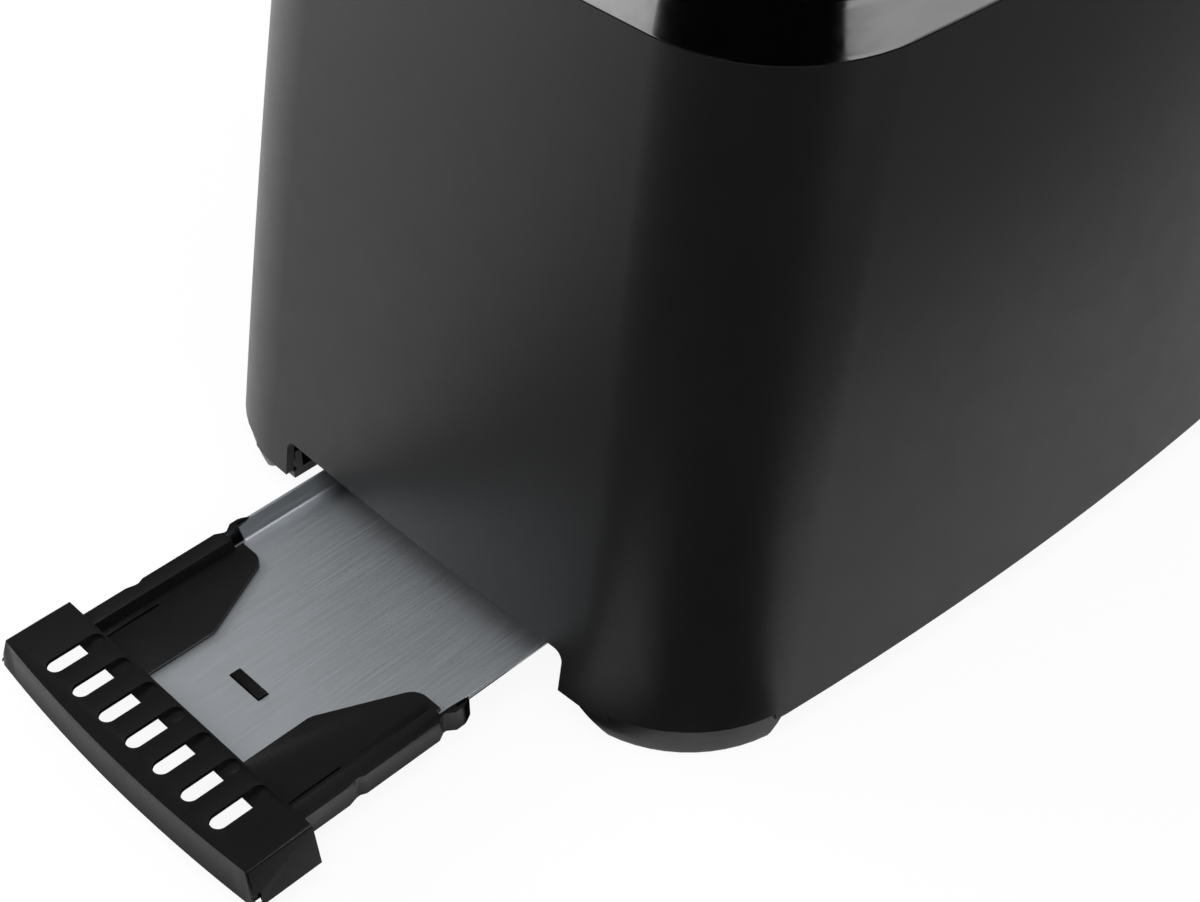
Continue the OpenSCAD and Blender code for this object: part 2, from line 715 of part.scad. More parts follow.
module lever_knob() placed() color([0.1, 0.1, 0.11])
    difference() {
        union() {
            translate([panel_x + knob_gap, 0, arm_z]) rounded_prism_x(2 * 7, knob_h - 4, knob_l - 8, 3);
            translate([panel_x + knob_gap + knob_l - 10, 0, arm_z])
                rounded_prism_x(2 * knob_half_w, knob_h, 10, 5);
        }
        translate([panel_x, -arm_t / 2 - eps, arm_z - arm_h / 2 - eps])
            cube([knob_gap + 8 + eps, arm_t + 2 * eps, arm_h + 2 * eps]);
    }

// Holding magnet: a two-legged core on the base with its coil on one leg
leg_w = 4;
module magnet_core() placed() color([0.45, 0.45, 0.47])
    translate([catch_x0 + 1, 0, base_z1]) {
        translate([0, catch_y - 6, 0]) cube([11, 12, 6]);
        for (y = [-6, 6 - leg_w])
            translate([0, catch_y + y, 0]) cube([11, leg_w, magnet_z1 - base_z1]);
    }
module magnet_coil() placed() color([0.65, 0.32, 0.15])
    translate([catch_x0 + 6.5, catch_y + 6 - leg_w / 2, base_z1 + 6.3]) difference() {
        rounded_prism(18, 11, 17, 2);
        translate([-5.6, -leg_w / 2 - 0.1, -1]) cube([11.2, leg_w + 0.2, 20]);
        // The other leg and the air beside it
        translate([-10, -12, -1]) cube([20, 12 - leg_w / 2 - 1.7, 20]);
    }

// ============================ controls ============================

// Blank of the bezel, grown by a gap, from the panel's plane outwards
module bezel_blank(grow, depth) {
    translate([panel_x - panel_t - 1.5, 0, (panel_z0 + panel_z1) / 2])
        rounded_prism_x(2 * (panel_half_w + bezel_wall + grow),
            panel_z1 - panel_z0 + 2 * (bezel_wall + grow), depth, panel_r + bezel_wall + grow);
}

module control_bezel() placed() color([0.09, 0.09, 0.1])
    intersection() {
        difference() {
            bezel_blank(0, 60);
            translate([panel_x - panel_t - 5, 0, (panel_z0 + panel_z1) / 2])
                rounded_prism_x(2 * panel_half_w, panel_z1 - panel_z0, 80, panel_r);
        }
        body_form(panel_z0 - 10, panel_z1 + 10, -bezel_proud, 3);
    }

module control_panel() placed() color([0.11, 0.11, 0.12])
    difference() {
        union() {
            translate([panel_x - panel_t, 0, (panel_z0 + panel_z1) / 2])
                rounded_prism_x(2 * panel_half_w - 0.2, panel_z1 - panel_z0 - 0.2, panel_t, panel_r - 0.1);
            // Posts for the timer board
            for (y = [button_y - 15.5, button_y + 15.5], z = [button_z0 - 8, button_z0 + 2 * button_pitch + 8])
                translate([panel_x - panel_t - board_gap, y, z]) rotate([0, 90, 0])
                    cylinder(r = 2, h = board_gap + eps);
        }
        // Lever slot
        translate([panel_x - panel_t - 1, -arm_t / 2 - 1, arm_z - lift_travel - arm_h / 2 - 2])
            cube([panel_t + 2, arm_t + 2, lift_travel + arm_h + 4]);
        translate([panel_x - panel_t - 1, dial_y, dial_z]) rotate([0, 90, 0])
            cylinder(r = bushing_r + 0.1, h = panel_t + 2);
        for (i = [0:2])
            translate([panel_x - panel_t - 1, button_y, button_z0 + i * button_pitch])
                rounded_prism_x(button_w + 0.6, button_h + 0.6, panel_t + 2, 2.3);
    }

// Timer circuit board behind the buttons
module timer_board() placed() color([0.1, 0.35, 0.2])
    translate([panel_x - panel_t - board_gap - pcb_t, button_y - 18, button_z0 - 11])
        cube([pcb_t, 36, 2 * button_pitch + 22]);

module button_switches() placed() color([0.2, 0.2, 0.2])
    for (i = [0:2])
        translate([panel_x - panel_t - board_gap, button_y - 4, button_z0 + i * button_pitch - 4])
            cube([3, 8, 8]);

// Potentiometer behind the dial, with its bushing through the panel
module dial_control() placed() color([0.35, 0.35, 0.38])
    translate([panel_x - panel_t, dial_y, dial_z]) rotate([0, 90, 0]) difference() {
        union() {
            translate([-9, -9, -9]) cube([18, 18, 9]);
            cylinder(r = bushing_r, h = panel_t + 1);
        }
        translate([0, 0, -6]) cylinder(r = shaft_r + run_gap, h = 20);
    }

module dial_shaft() placed() color([0.7, 0.7, 0.72])
    translate([panel_x - panel_t - 5, dial_y, dial_z]) rotate([0, 90, 0])
        cylinder(r = shaft_r, h = panel_t + 5 + dial_gap + 9);

// Fluted dial with a raised pointer bar
module browning_dial() placed() color([0.1, 0.1, 0.11])
    translate([panel_x + dial_gap, dial_y, dial_z]) rotate([0, 90, 0]) difference() {
        union() {
            cylinder(r = dial_r + 1.5, h = 2);
            cylinder(r = dial_r, h = dial_h - 1);
            translate([-dial_r + 1, -1.5, 0]) cube([2 * dial_r - 2, 3, dial_h]);
        }
        for (i = [0:23]) rotate([0, 0, i * 15])
            translate([dial_r + 0.4, 0, 3]) cylinder(r = 1, h = dial_h, $fn = 24);
        translate([0, 0, -1]) cylinder(r = shaft_r + 0.03, h = 1 + 9 + 0.1);
    }

module push_button(i)
    translate([panel_x, button_y, button_z0 + i * button_pitch]) {
        translate([-panel_t - fit_gap, 0, 0])
            rounded_prism_x(button_w, button_h, panel_t + fit_gap + button_proud, 2);
        translate([-panel_t - fit_gap - button_flange, 0, 0])
            rounded_prism_x(button_w + 3, button_h + 3, button_flange, 2);
        translate([-panel_t - board_gap + 3 + button_travel + 0.3, 0, 0]) rotate([0, 90, 0])
            cylinder(r = 2.5, h = board_gap - 3 - button_travel - 0.3 - fit_gap - button_flange + eps);
    }
module cancel_button() placed() color([0.16, 0.16, 0.17]) push_button(0);
module reheat_button() placed() color([0.16, 0.16, 0.17]) push_button(1);
module defrost_button() placed() color([0.16, 0.16, 0.17]) push_button(2);

// Upright supply board on the base, with its relay and capacitor
module power_board() placed() color([0.12, 0.4, 0.22])
    translate([chamber_x1 + 6, -chamber_half_w - 14, base_z1]) {
        cube([38, pcb_t, 66]);
        translate([5, -12, 12]) cube([18, 12 + eps, 15]);
        translate([29, eps, 48]) rotate([90, 0, 0]) cylinder(r = 6, h = 14);
    }

module terminal_block() placed() color([0.85, 0.83, 0.78])
    translate([gland_x - 12, gland_y + 14, base_z1]) difference() {
        cube([26, 12, 11]);
        for (i = [0:2]) translate([5 + i * 8, 6, 5]) cylinder(r = 2, h = 10);
    }

// ============================ crumb tray ============================

// Trough with leaning sides from x0 to x1, standing on z, its sides moved in by w
module trough(x0, x1, z, h, w) {
    out = pan_rim_lean / (pan_rim_h + pan_t);
    y0 = pan_low_half_w - w + (z - pan_floor_z + pan_t) * out;
    y1 = y0 + h * out;
    translate([x0, 0, z]) rotate([90, 0, 90]) linear_extrude(x1 - x0)
        polygon([[-y0, 0], [y0, 0], [y1, h], [-y1, h]]);
}

// Pressed pan: floor, turned-up rims at the sides and far end, a window at the front
module tray_pan() placed() color([0.6, 0.63, 0.67])
    translate([tray_x, 0, 0]) difference() {
        union() {
            translate([pan_front, -pan_low_half_w, pan_floor_z - pan_t])
                cube([pan_l, 2 * pan_low_half_w, pan_t]);
            trough(pan_wide_x, pan_front + pan_l, pan_floor_z - pan_t, pan_t + pan_rim_h, 0);
        }
        trough(pan_wide_x - 1, pan_front + pan_l - pan_t, pan_floor_z, pan_rim_h + 1, rim_level_t);
        translate([window_x, -window_half_w, 0]) cube([window_l, 2 * window_half_w, 20]);
        // Notch in the front edge, round the tongue's root
        translate([0, -tongue_half_w - 0.3, 0])
            cube([tongue_x + tongue_root + 0.3, 2 * tongue_half_w + 0.6, 20]);
    }

// Solid form of the handle: a drafted block with a bowed, sloping front
module handle_form(w) {
    intersection() {
        translate([-2 * handle_front, 0, 0]) rotate([90, 0, 90])
            linear_extrude(2 * handle_front + handle_back + (w > 0 ? 1 : 0))
                polygon([[-handle_low_half_w + w, handle_low_z - w], [handle_low_half_w - w, handle_low_z - w],
                    [handle_top_half_w - w, handle_z - w], [-handle_top_half_w + w, handle_z - w]]);
        translate([handle_bow_r - handle_front, 0, handle_low_z - w])
            cylinder(r1 = handle_bow_r - w, r2 = handle_bow_r - w - 1.3, h = handle_h, $fn = 360);
    }
}

// Section of an arm: outer wall, flat top band and a slope down to the web
arm_band = 3;
arm_slope_y = arm_half_w - 6.4;
arm_inner_y = arm_half_w - 7.6;
function arm_section() = let (w = arm_half_w - barb_dip) [
    [w, arm_low_z], [w, arm_top_z], [arm_half_w - arm_band, arm_top_z],
    [arm_slope_y, web_z + web_t + 0.6], [arm_inner_y, web_z + web_t],
    [arm_inner_y, web_z], [arm_foot_y, web_z], [arm_foot_y, arm_low_z]];

// Plan of the arm's outer strip: straight runs, a shallow dent, and a barb behind a dip
function arm_strip() =
    let (w = arm_half_w, d = arm_dent_x, b = arm_end - barb_l)
    [[handle_back - 4, arm_foot_y], [handle_back - 4, w], [d, w], [d + 2.5, w - arm_dent],
    [d + 3.5, w - arm_dent], [d + 5, w], [b, w], [b + 2.2, w - barb_dip], [b + 3, w - barb_dip],
    [b + 5, w + barb_proud], [b + 7.6, w + barb_proud], [b + 8.6, w - 0.1],
    [barb_tip, w - 1.1], [barb_tip - 1, w - 1.5], [b + 5, arm_foot_y]];

// Web between the arm and the pan's bare middle: straight, then narrowing to a round tip
web_inner = 18.5;
web_bend_x = arm_end - 26;
web_end = arm_end - 2.7;
web_tip_r = 5;
web_tip_y = web_inner + 14.3;
web_slope = 26;
function web_outline() = concat(
    [[handle_back - 6, arm_half_w - 5], [handle_back - 6, web_inner], [web_bend_x, web_inner]],
    [for (a = [web_slope - 90:16:-8]) [web_end - web_tip_r + web_tip_r * cos(a), web_tip_y + web_tip_r * sin(a)]],
    [[web_end, web_tip_y], [web_end, arm_half_w - 5]]);
// Groove between the web and the foot of the arm's slope
groove_l = 16;
groove_w = 0.7;

module tray_handle() placed() color([0.09, 0.09, 0.1])
    translate([tray_x, 0, 0]) {
        difference() {
            handle_form(0);
            difference() {
                handle_form(handle_wall);
                // Ledge behind the slots that makes their rear ends pockets
                translate([pocket_x, -60, handle_z - 2 * handle_wall]) cube([40, 120, 10]);
            }
            for (i = [0:grip_count - 1])
                translate([0, (i - (grip_count - 1) / 2) * grip_pitch, 0]) grip_slot();
            // Slits at the lower corners, between the front band and the end walls
            for (s = [-1, 1])
                translate([-handle_front - 1, s * (handle_low_half_w - handle_wall) - slit_w / 2,
                    handle_low_z - 1]) cube([6, slit_w, slit_h + 1]);
        }
        for (s = [0, 1]) mirror([0, s, 0]) {
            difference() {
                union() {
                    translate([handle_back - 4, 0, 0]) rotate([90, 0, 90])
                        linear_extrude(arm_end - barb_l + 2 - handle_back + 4) polygon(arm_section());
                    translate([0, 0, web_z]) linear_extrude(web_t) polygon(web_outline());
                }
                translate([handle_back + 0.8, arm_inner_y - groove_w / 2, web_z + web_t / 2])
                    cube([groove_l, groove_w, web_t]);
            }
            // Post that ties the arm and web to the handle's ledge
            translate([handle_back - 4, web_inner, web_z])
                cube([4, arm_half_w - web_inner, handle_z - handle_wall - web_z]);
            translate([0, 0, arm_low_z])
                linear_extrude(arm_top_z - arm_low_z) polygon(arm_strip());
        }
        // Tongue under the pan with the barb that snaps up through its window
        translate([tongue_x, -tongue_half_w, tongue_z])
            cube([tongue_root, 2 * tongue_half_w, handle_z - handle_wall - tongue_z]);
        translate([tongue_x, -tongue_half_w, tongue_z])
            cube([window_x + window_l + 2 - tongue_x, 2 * tongue_half_w, tongue_t]);
        translate([window_x + 0.3, -window_half_w + 0.3, pan_floor_z - pan_t - 0.2])
            cube([window_l - 0.6, 2 * window_half_w - 0.6, pan_t + 0.6]);
    }

// One slot: right through at the front, a pocket over the ledge at the rear
module grip_slot() {
    r = grip_w / 2;
    x0 = -grip_front + r;
    x1 = -grip_front + grip_l - r;
    for (x = [x0, x1]) translate([x, 0, handle_z - handle_wall]) cylinder(r = r, h = 5);
    translate([x0, -r, handle_z - handle_wall]) cube([x1 - x0, grip_w, 5]);
    translate([x0, 0, 0]) cylinder(r = r, h = 30);
    translate([x0, -r, 0]) cube([pocket_x - x0, grip_w, 30]);
}

base_plate();
foot_pads();
base_screws();
cord_gland();
outer_shell();
top_cover();
chamber_top();
front_plate();
rear_plate();
reflector_left();
reflector_right();
heater_board_left();
heater_board_centre();
heater_board_right();
heating_ribbon_left();
heating_ribbon_centre();
heating_ribbon_right();
bread_guide_left_outer();
bread_guide_left_inner();
bread_guide_right_inner();
bread_guide_right_outer();
guide_rod();
rod_bracket();
lift_spring();
carriage();
carriage_bush();
bread_rack_left();
bread_rack_right();
catch_plate();
lever_arm();
lever_knob();
magnet_core();
magnet_coil();
control_bezel();
control_panel();
timer_board();
button_switches();
dial_control();
dial_shaft();
browning_dial();
cancel_button();
reheat_button();
defrost_button();
power_board();
terminal_block();
tray_pan();
tray_handle();
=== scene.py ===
# %% [markdown]
# # Two-slot pop-up toaster with its crumb tray drawn out
# This lesson dresses a finished construction model of a toaster for a picture.
# The construction model fixes every size and every moving part. What is made
# here are the surfaces that the eye sees: moulded plastic, a polished cover, a
# galvanised crumb tray and the wires and sheets inside.
# The first step loads the construction model and keeps its box, so that the
# finished looks can be compared with it at the end.

# %% Load the construction model
import json
import math
import bmesh
import bpy
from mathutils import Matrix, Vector
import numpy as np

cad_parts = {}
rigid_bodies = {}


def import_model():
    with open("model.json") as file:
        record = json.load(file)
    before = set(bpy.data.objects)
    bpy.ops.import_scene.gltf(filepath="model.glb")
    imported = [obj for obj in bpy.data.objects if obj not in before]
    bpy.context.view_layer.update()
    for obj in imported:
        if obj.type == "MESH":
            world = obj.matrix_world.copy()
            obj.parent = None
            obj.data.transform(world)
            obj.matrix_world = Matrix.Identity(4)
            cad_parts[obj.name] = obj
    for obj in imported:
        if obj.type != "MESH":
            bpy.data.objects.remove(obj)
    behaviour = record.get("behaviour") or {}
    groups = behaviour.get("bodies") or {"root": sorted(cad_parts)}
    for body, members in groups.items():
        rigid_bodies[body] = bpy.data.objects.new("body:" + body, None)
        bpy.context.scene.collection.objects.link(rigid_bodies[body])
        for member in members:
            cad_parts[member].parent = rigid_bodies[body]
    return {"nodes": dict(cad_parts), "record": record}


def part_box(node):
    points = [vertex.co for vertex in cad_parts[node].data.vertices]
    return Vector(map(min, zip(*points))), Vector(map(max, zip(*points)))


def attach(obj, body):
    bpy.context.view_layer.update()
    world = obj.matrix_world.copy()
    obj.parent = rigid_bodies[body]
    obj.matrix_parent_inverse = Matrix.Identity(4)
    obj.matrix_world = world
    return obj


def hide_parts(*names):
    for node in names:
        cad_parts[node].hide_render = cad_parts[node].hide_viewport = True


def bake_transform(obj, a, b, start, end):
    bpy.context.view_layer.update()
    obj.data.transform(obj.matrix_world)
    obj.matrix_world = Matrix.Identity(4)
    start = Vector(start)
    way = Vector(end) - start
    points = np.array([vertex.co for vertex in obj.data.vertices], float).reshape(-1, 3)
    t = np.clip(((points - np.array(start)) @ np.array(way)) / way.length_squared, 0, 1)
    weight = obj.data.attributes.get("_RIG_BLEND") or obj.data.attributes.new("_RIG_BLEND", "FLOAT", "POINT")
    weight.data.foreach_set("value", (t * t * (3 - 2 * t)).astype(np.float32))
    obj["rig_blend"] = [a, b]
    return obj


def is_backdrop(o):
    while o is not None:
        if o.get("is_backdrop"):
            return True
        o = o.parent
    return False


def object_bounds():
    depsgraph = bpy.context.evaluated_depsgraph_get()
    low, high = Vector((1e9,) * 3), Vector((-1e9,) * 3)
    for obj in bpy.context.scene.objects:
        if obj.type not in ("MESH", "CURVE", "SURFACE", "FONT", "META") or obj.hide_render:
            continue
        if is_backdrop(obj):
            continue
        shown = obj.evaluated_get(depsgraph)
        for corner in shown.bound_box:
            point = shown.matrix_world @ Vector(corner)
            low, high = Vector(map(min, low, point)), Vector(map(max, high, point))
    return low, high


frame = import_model()
cad_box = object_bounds()
MM = 0.001
print("pieces:", len(frame["nodes"]), "box:", [round(c, 4) for p in cad_box for c in p])

# %% [markdown]
# ## Working by place
# Blender's edit tools act on whatever is selected. By hand you would click the
# faces; in a script the same choice is made by position: "the top edges", "the
# faces that look backwards". These helpers start a mesh from a primitive, pick
# parts of it by a test on their place, and bring each finished object home:
# its own origin at zero, its place in its mesh.

# %% Helpers for starting a mesh
SIDES = (-1, 1)
CORNERS = [(sx, sy) for sx in SIDES for sy in SIDES]


def deselect():
    if bpy.context.object and bpy.context.object.mode == "EDIT":
        bpy.ops.object.mode_set(mode="OBJECT")
    bpy.ops.object.select_all(action="DESELECT")


def only(obj):
    deselect()
    obj.select_set(True)
    bpy.context.view_layer.objects.active = obj
    return obj


def snap(obj):
    """Sets every point on a grid of a thousandth of a millimetre, so that faces meant to meet do."""
    for v in obj.data.vertices:
        v.co = [round(c, 6) for c in v.co]
    return obj


def home(name):
    """Names the new object and puts its place into its mesh."""
    obj = bpy.context.object
    obj.name = obj.data.name = name
    bpy.ops.object.transform_apply(location=True, rotation=True, scale=True)
    return snap(obj)


def block(name, one, other):
    """A cube primitive between two opposite corners, in millimetres."""
    deselect()
    low, high = (Vector([choose(p, q) for p, q in zip(one, other)]) * MM for choose in (min, max))
    bpy.ops.mesh.primitive_cube_add(size=1, location=(low + high) / 2, scale=high - low)
    return home(name)


def rod(name, centre, radius, length, axis="Z", sides=48):
    """A cylinder primitive about its centre, in millimetres."""
    deselect()
    turn = {"Z": (0, 0, 0), "X": (0, math.pi / 2, 0), "Y": (math.pi / 2, 0, 0)}[axis]
    bpy.ops.mesh.primitive_cylinder_add(vertices=sides, radius=radius * MM, depth=length * MM,
                                        location=Vector(centre) * MM, rotation=turn)
    return home(name)


print("blocks and rods ready")


# %% Helpers for picking
def select(all_of_it=True):
    bpy.ops.mesh.select_all(action="SELECT" if all_of_it else "DESELECT")


def edit(obj, all_of_it=False):
    """Opens edit mode with the whole mesh selected, or nothing."""
    only(obj)
    bpy.ops.object.mode_set(mode="EDIT")
    bpy.ops.mesh.select_mode(type="VERT")
    select(all_of_it)
    return bmesh.from_edit_mesh(obj.data)


def done(obj):
    bpy.ops.object.mode_set(mode="OBJECT")
    return obj


def near(a, b, slack=0.02):
    return abs(a - b) < slack


def pick_points(obj, test):
    """Selects the points whose place, in millimetres, passes the test."""
    bm = edit(obj)
    for v in bm.verts:
        v.select_set(bool(test(v.co / MM)))
    bm.select_flush(True)
    bmesh.update_edit_mesh(obj.data)


def pick_faces(obj, test):
    """Selects the faces whose middle and normal pass the test."""
    bm = edit(obj)
    bpy.ops.mesh.select_mode(type="FACE")
    for f in bm.faces:
        f.select_set(bool(test(f.calc_center_median() / MM, f.normal)))
    bmesh.update_edit_mesh(obj.data)


def pick_edges(obj, test, also):
    """Selects the edges whose ends, in millimetres, both pass the test, and pass another one together."""
    bm = edit(obj)
    bpy.ops.mesh.select_mode(type="EDGE")
    for e in bm.edges:
        a, b = (v.co / MM for v in e.verts)
        e.select_set(bool(test(a) and test(b) and also(a, b)))
    bmesh.update_edit_mesh(obj.data)


def along(axis):
    """The test that an edge runs along an axis."""
    k = "XYZ".index(axis)
    return lambda a, b: abs(a[k] - b[k]) > 0.001


def round_edges(obj, test, width, segments, also=lambda a, b: True):
    """Rounds the edges that pick_edges finds."""
    pick_edges(obj, test, also)
    bpy.ops.mesh.bevel(offset=width * MM, offset_type="OFFSET", segments=segments, affect="EDGES",
                       clamp_overlap=True)
    return done(obj)


def rounded_block(name, one, other, radius, axis, segments=8):
    """A block whose four edges along one axis are rounded."""
    return round_edges(block(name, one, other), lambda p: True, radius, segments, along(axis))


def move_picked(obj, move):
    """Moves what is picked, in millimetres."""
    bpy.ops.transform.translate(value=Vector(move) * MM)
    return done(obj)


print("picking ready")

# %% [markdown]
# ## Modifiers, applied
# A modifier is a tool that waits in a stack; applying it writes its result into
# the mesh. Cutting with another solid, giving a skin its thickness and easing
# sharp edges are all done this way, because they act on a whole piece at once.
# Real mouldings and pressings have no razor edges: a tenth of a millimetre of
# rounding is what makes an edge catch the light.

# %% Helpers for cutting and joining
def apply(obj, kind, **settings):
    only(obj)
    m = obj.modifiers.new(kind.title(), kind)
    for key, value in settings.items():
        setattr(m, key, value)
    bpy.ops.object.modifier_apply(modifier=m.name)
    return obj


def combine(obj, *others, how="DIFFERENCE"):
    """Cuts, joins or intersects obj with other solids, which are used up."""
    for other in others:
        apply(obj, "BOOLEAN", object=other, operation=how, solver="EXACT")
        bpy.data.objects.remove(other)
    return obj


def join(name, *objs):
    """Several meshes as one object."""
    deselect()
    for o in objs:
        o.select_set(True)
    bpy.context.view_layer.objects.active = objs[0]
    bpy.ops.object.join()
    objs[0].name = objs[0].data.name = name
    return objs[0]


def face_outwards():
    """Points every face of a mesh in edit mode outwards."""
    select()
    bpy.ops.mesh.normals_make_consistent(inside=False)


def twin(obj, name, move=(0, 0, 0), mirror=(1, 1, 1)):
    """A copy with its own mesh, moved in millimetres or mirrored."""
    only(obj)
    bpy.ops.object.duplicate(linked=False)
    bpy.ops.transform.resize(value=mirror, center_override=(0, 0, 0))
    bpy.ops.transform.translate(value=Vector(move) * MM)
    copy = home(name)
    if mirror != (1, 1, 1):
        edit(copy)
        face_outwards()
        done(copy)
    return copy


def copies(obj, *ways):
    """Twins of a piece, each moved or mirrored in its own way; the piece itself is used up."""
    made = [twin(obj, obj.name + "_copy", **way) for way in ways]
    bpy.data.objects.remove(obj)
    return made


def turned(obj, degrees, centre):
    """Turns a whole mesh about an X axis through a centre, in millimetres."""
    edit(obj, all_of_it=True)
    bpy.ops.transform.rotate(value=math.radians(degrees), orient_axis="X",
                             center_override=Vector(centre) * MM)
    return done(obj)


print("cutting and joining ready")


# %% Helpers for cleaning and easing
def clean(obj):
    """Merges doubles and points every face outwards."""
    edit(obj, all_of_it=True)
    bpy.ops.mesh.remove_doubles(threshold=MM * 0.001)
    face_outwards()
    return done(obj)


def shade(obj, degrees=40):
    """Shades smoothly across every edge flatter than an angle."""
    only(obj)
    bpy.ops.object.shade_smooth_by_angle(angle=math.radians(degrees))
    return obj


def ease(obj, width, segments=3, sharper_than=50, smooth=40):
    """Rounds every edge sharper than an angle, then shades the piece smooth."""
    apply(obj, "BEVEL", width=width * MM, segments=segments, limit_method="ANGLE",
          angle_limit=math.radians(sharper_than), use_clamp_overlap=True,
          miter_outer="MITER_ARC", harden_normals=False)
    return shade(obj, smooth)


def soften(obj, *settings, **more):
    """Cleans and eases a piece, then lets its large faces rule the shading, so that flats stay flat."""
    ease(clean(obj), *settings, **more)
    return apply(obj, "WEIGHTED_NORMAL", keep_sharp=True, weight=80)


print("helpers ready")

# %% [markdown]
# ## A scribed outline
# Pieces with an odd outline are drawn the way a pattern maker scribes a line:
# a point is set down and extruded from corner to corner, the outline is closed
# with a face, and the face is pulled out to its thickness.

# %% Scribe an outline and pull it out
def scribe(name, points):
    """Draws a line from corner to corner, in millimetres, and leaves it selected in edit mode."""
    deselect()
    bpy.ops.mesh.primitive_plane_add(size=MM, location=Vector(points[0]) * MM)
    obj = home(name)
    edit(obj, all_of_it=True)
    bpy.ops.mesh.merge(type="CENTER")
    for a, b in zip(points, points[1:]):
        bpy.ops.mesh.extrude_vertices_move(TRANSFORM_OT_translate={"value": (Vector(b) - Vector(a)) * MM})
    select()
    return obj


def pull_out(move):
    bpy.ops.mesh.extrude_region_move(TRANSFORM_OT_translate={"value": Vector(move) * MM})


def scribed(name, points, pull):
    """A scribed outline, closed with a face and pulled out."""
    obj = scribe(name, points)
    bpy.ops.mesh.edge_face_add()
    pull_out(pull)
    face_outwards()
    return snap(done(obj))


print("scribing tool ready")

# %% [markdown]
# ## Shared surface effects
# A mould gives plastic a fine spark-eroded grain, handling leaves faint clouds
# of shine, and a rolling mill leaves long streaks along a sheet. Several
# finishes need the same effects at different strengths, so each effect is a
# node group with named inputs: built once, placed in every material that needs
# it. Patterns read Object coordinates, which stay put on a piece.

# %% Helpers for shader nodes
def type_in(made, values):
    """Sets sockets by name; an underline stands for a space."""
    for key, value in values.items():
        made.inputs[key.replace("_", " ")].default_value = value
    return made


def node(tree, kind, **values):
    """Adds a shader node; a value that isn't a setting of the node is typed on its socket."""
    made = tree.nodes.new("ShaderNode" + kind)
    settings = {key for key in values if hasattr(made, key)}
    for key in settings:
        setattr(made, key, values[key])
    return type_in(made, {key: value for key, value in values.items() if key not in settings})


def sum_node(tree, operation="MULTIPLY", by=0.5):
    """A Math node; its second value is typed in."""
    made = node(tree, "Math", operation=operation)
    made.inputs[1].default_value = by
    return made


def wire(tree, *runs):
    """Links sockets; each run is a node, its output, another node and its input."""
    for a, out, b, into in runs:
        tree.links.new(a.outputs[out], b.inputs[into])


def effect(name, inputs, outputs):
    """An empty node group with sockets in and out."""
    g = bpy.data.node_groups.new(name, "ShaderNodeTree")
    for key, value in inputs.items():
        kind = "NodeSocketColor" if isinstance(value, tuple) else "NodeSocketFloat"
        g.interface.new_socket(key, in_out="INPUT", socket_type=kind).default_value = value
    for key, kind in outputs.items():
        g.interface.new_socket(key, in_out="OUTPUT", socket_type="NodeSocket" + kind)
    return g, g.nodes.new("NodeGroupInput"), g.nodes.new("NodeGroupOutput")


print("node helpers ready")

# %% Effect: two tones that drift into each other, with a drifting shine
drifting_tone, i, o = effect(
    "Drifting tone", {"Tone": (0.5, 0.5, 0.5, 1), "Other tone": (0.4, 0.4, 0.4, 1), "Size": 40.0,
                      "Shine low": 0.4, "Shine high": 0.5}, {"Color": "Color", "Roughness": "Float"})
g = drifting_tone
place = node(g, "TexCoord")
cloud = node(g, "TexNoise", Detail=3.0, Roughness=0.55)
fine = node(g, "TexNoise", Detail=2.0, Roughness=0.5)
nine = sum_node(g, by=9.0)
tones = node(g, "Mix", data_type="RGBA")
spread = node(g, "MapRange", From_Min=0.32, From_Max=0.68)
shine = node(g, "MapRange", From_Min=0.3, From_Max=0.7)
both = node(g, "Math", operation="ADD")
half = sum_node(g, by=0.5)
wire(g, (place, "Object", cloud, "Vector"), (place, "Object", fine, "Vector"), (i, "Size", cloud, "Scale"),
     (i, "Size", nine, 0), (nine, 0, fine, "Scale"), (cloud, 0, both, 0), (fine, 0, both, 1),
     (both, 0, half, 0), (half, 0, spread, "Value"), (spread, 0, tones, 0), (i, "Tone", tones, 6),
     (i, "Other tone", tones, 7), (tones, 2, o, "Color"), (half, 0, shine, "Value"),
     (i, "Shine low", shine, "To Min"), (i, "Shine high", shine, "To Max"), (shine, 0, o, "Roughness"))
print("effect:", g.name)

# %% Effect: spark-eroded grain of a mould
mould_grain, i, o = effect("Mould grain", {"Grains per metre": 2500.0}, {"Height": "Float"})
g = mould_grain
place = node(g, "TexCoord")
pits = node(g, "TexNoise", Detail=3.0, Roughness=0.7)
wire(g, (place, "Object", pits, "Vector"), (i, "Grains per metre", pits, "Scale"), (pits, 0, o, "Height"))
print("effect:", g.name)

# %% Effect: streaks that run along X, as on rolled or brushed sheet
rolled_streaks, i, o = effect(
    "Rolled streaks", {"Streaks per metre": 900.0, "Shine low": 0.25, "Shine high": 0.4},
    {"Mask": "Float", "Roughness": "Float"})
g = rolled_streaks
place = node(g, "TexCoord")
stretch = node(g, "Mapping", Scale=(0.03, 1.0, 1.0))
lines = node(g, "TexNoise", Detail=4.0, Roughness=0.6)
shine = node(g, "MapRange", From_Min=0.3, From_Max=0.7)
wire(g, (place, "Object", stretch, "Vector"), (stretch, 0, lines, "Vector"),
     (i, "Streaks per metre", lines, "Scale"), (lines, 0, o, "Mask"), (lines, 0, shine, "Value"),
     (i, "Shine low", shine, "To Min"), (i, "Shine high", shine, "To Max"), (shine, 0, o, "Roughness"))
print("effect:", g.name)

# %% [markdown]
# ## The finishes
# Every finish starts from a Principled shader. Plastics take their colour and
# shine from the drifting tone and their texture from the mould grain. Metals
# take their shine from the streaks. Values that are the same all over a piece,
# such as the specular level or the coat, are typed on the shader itself.

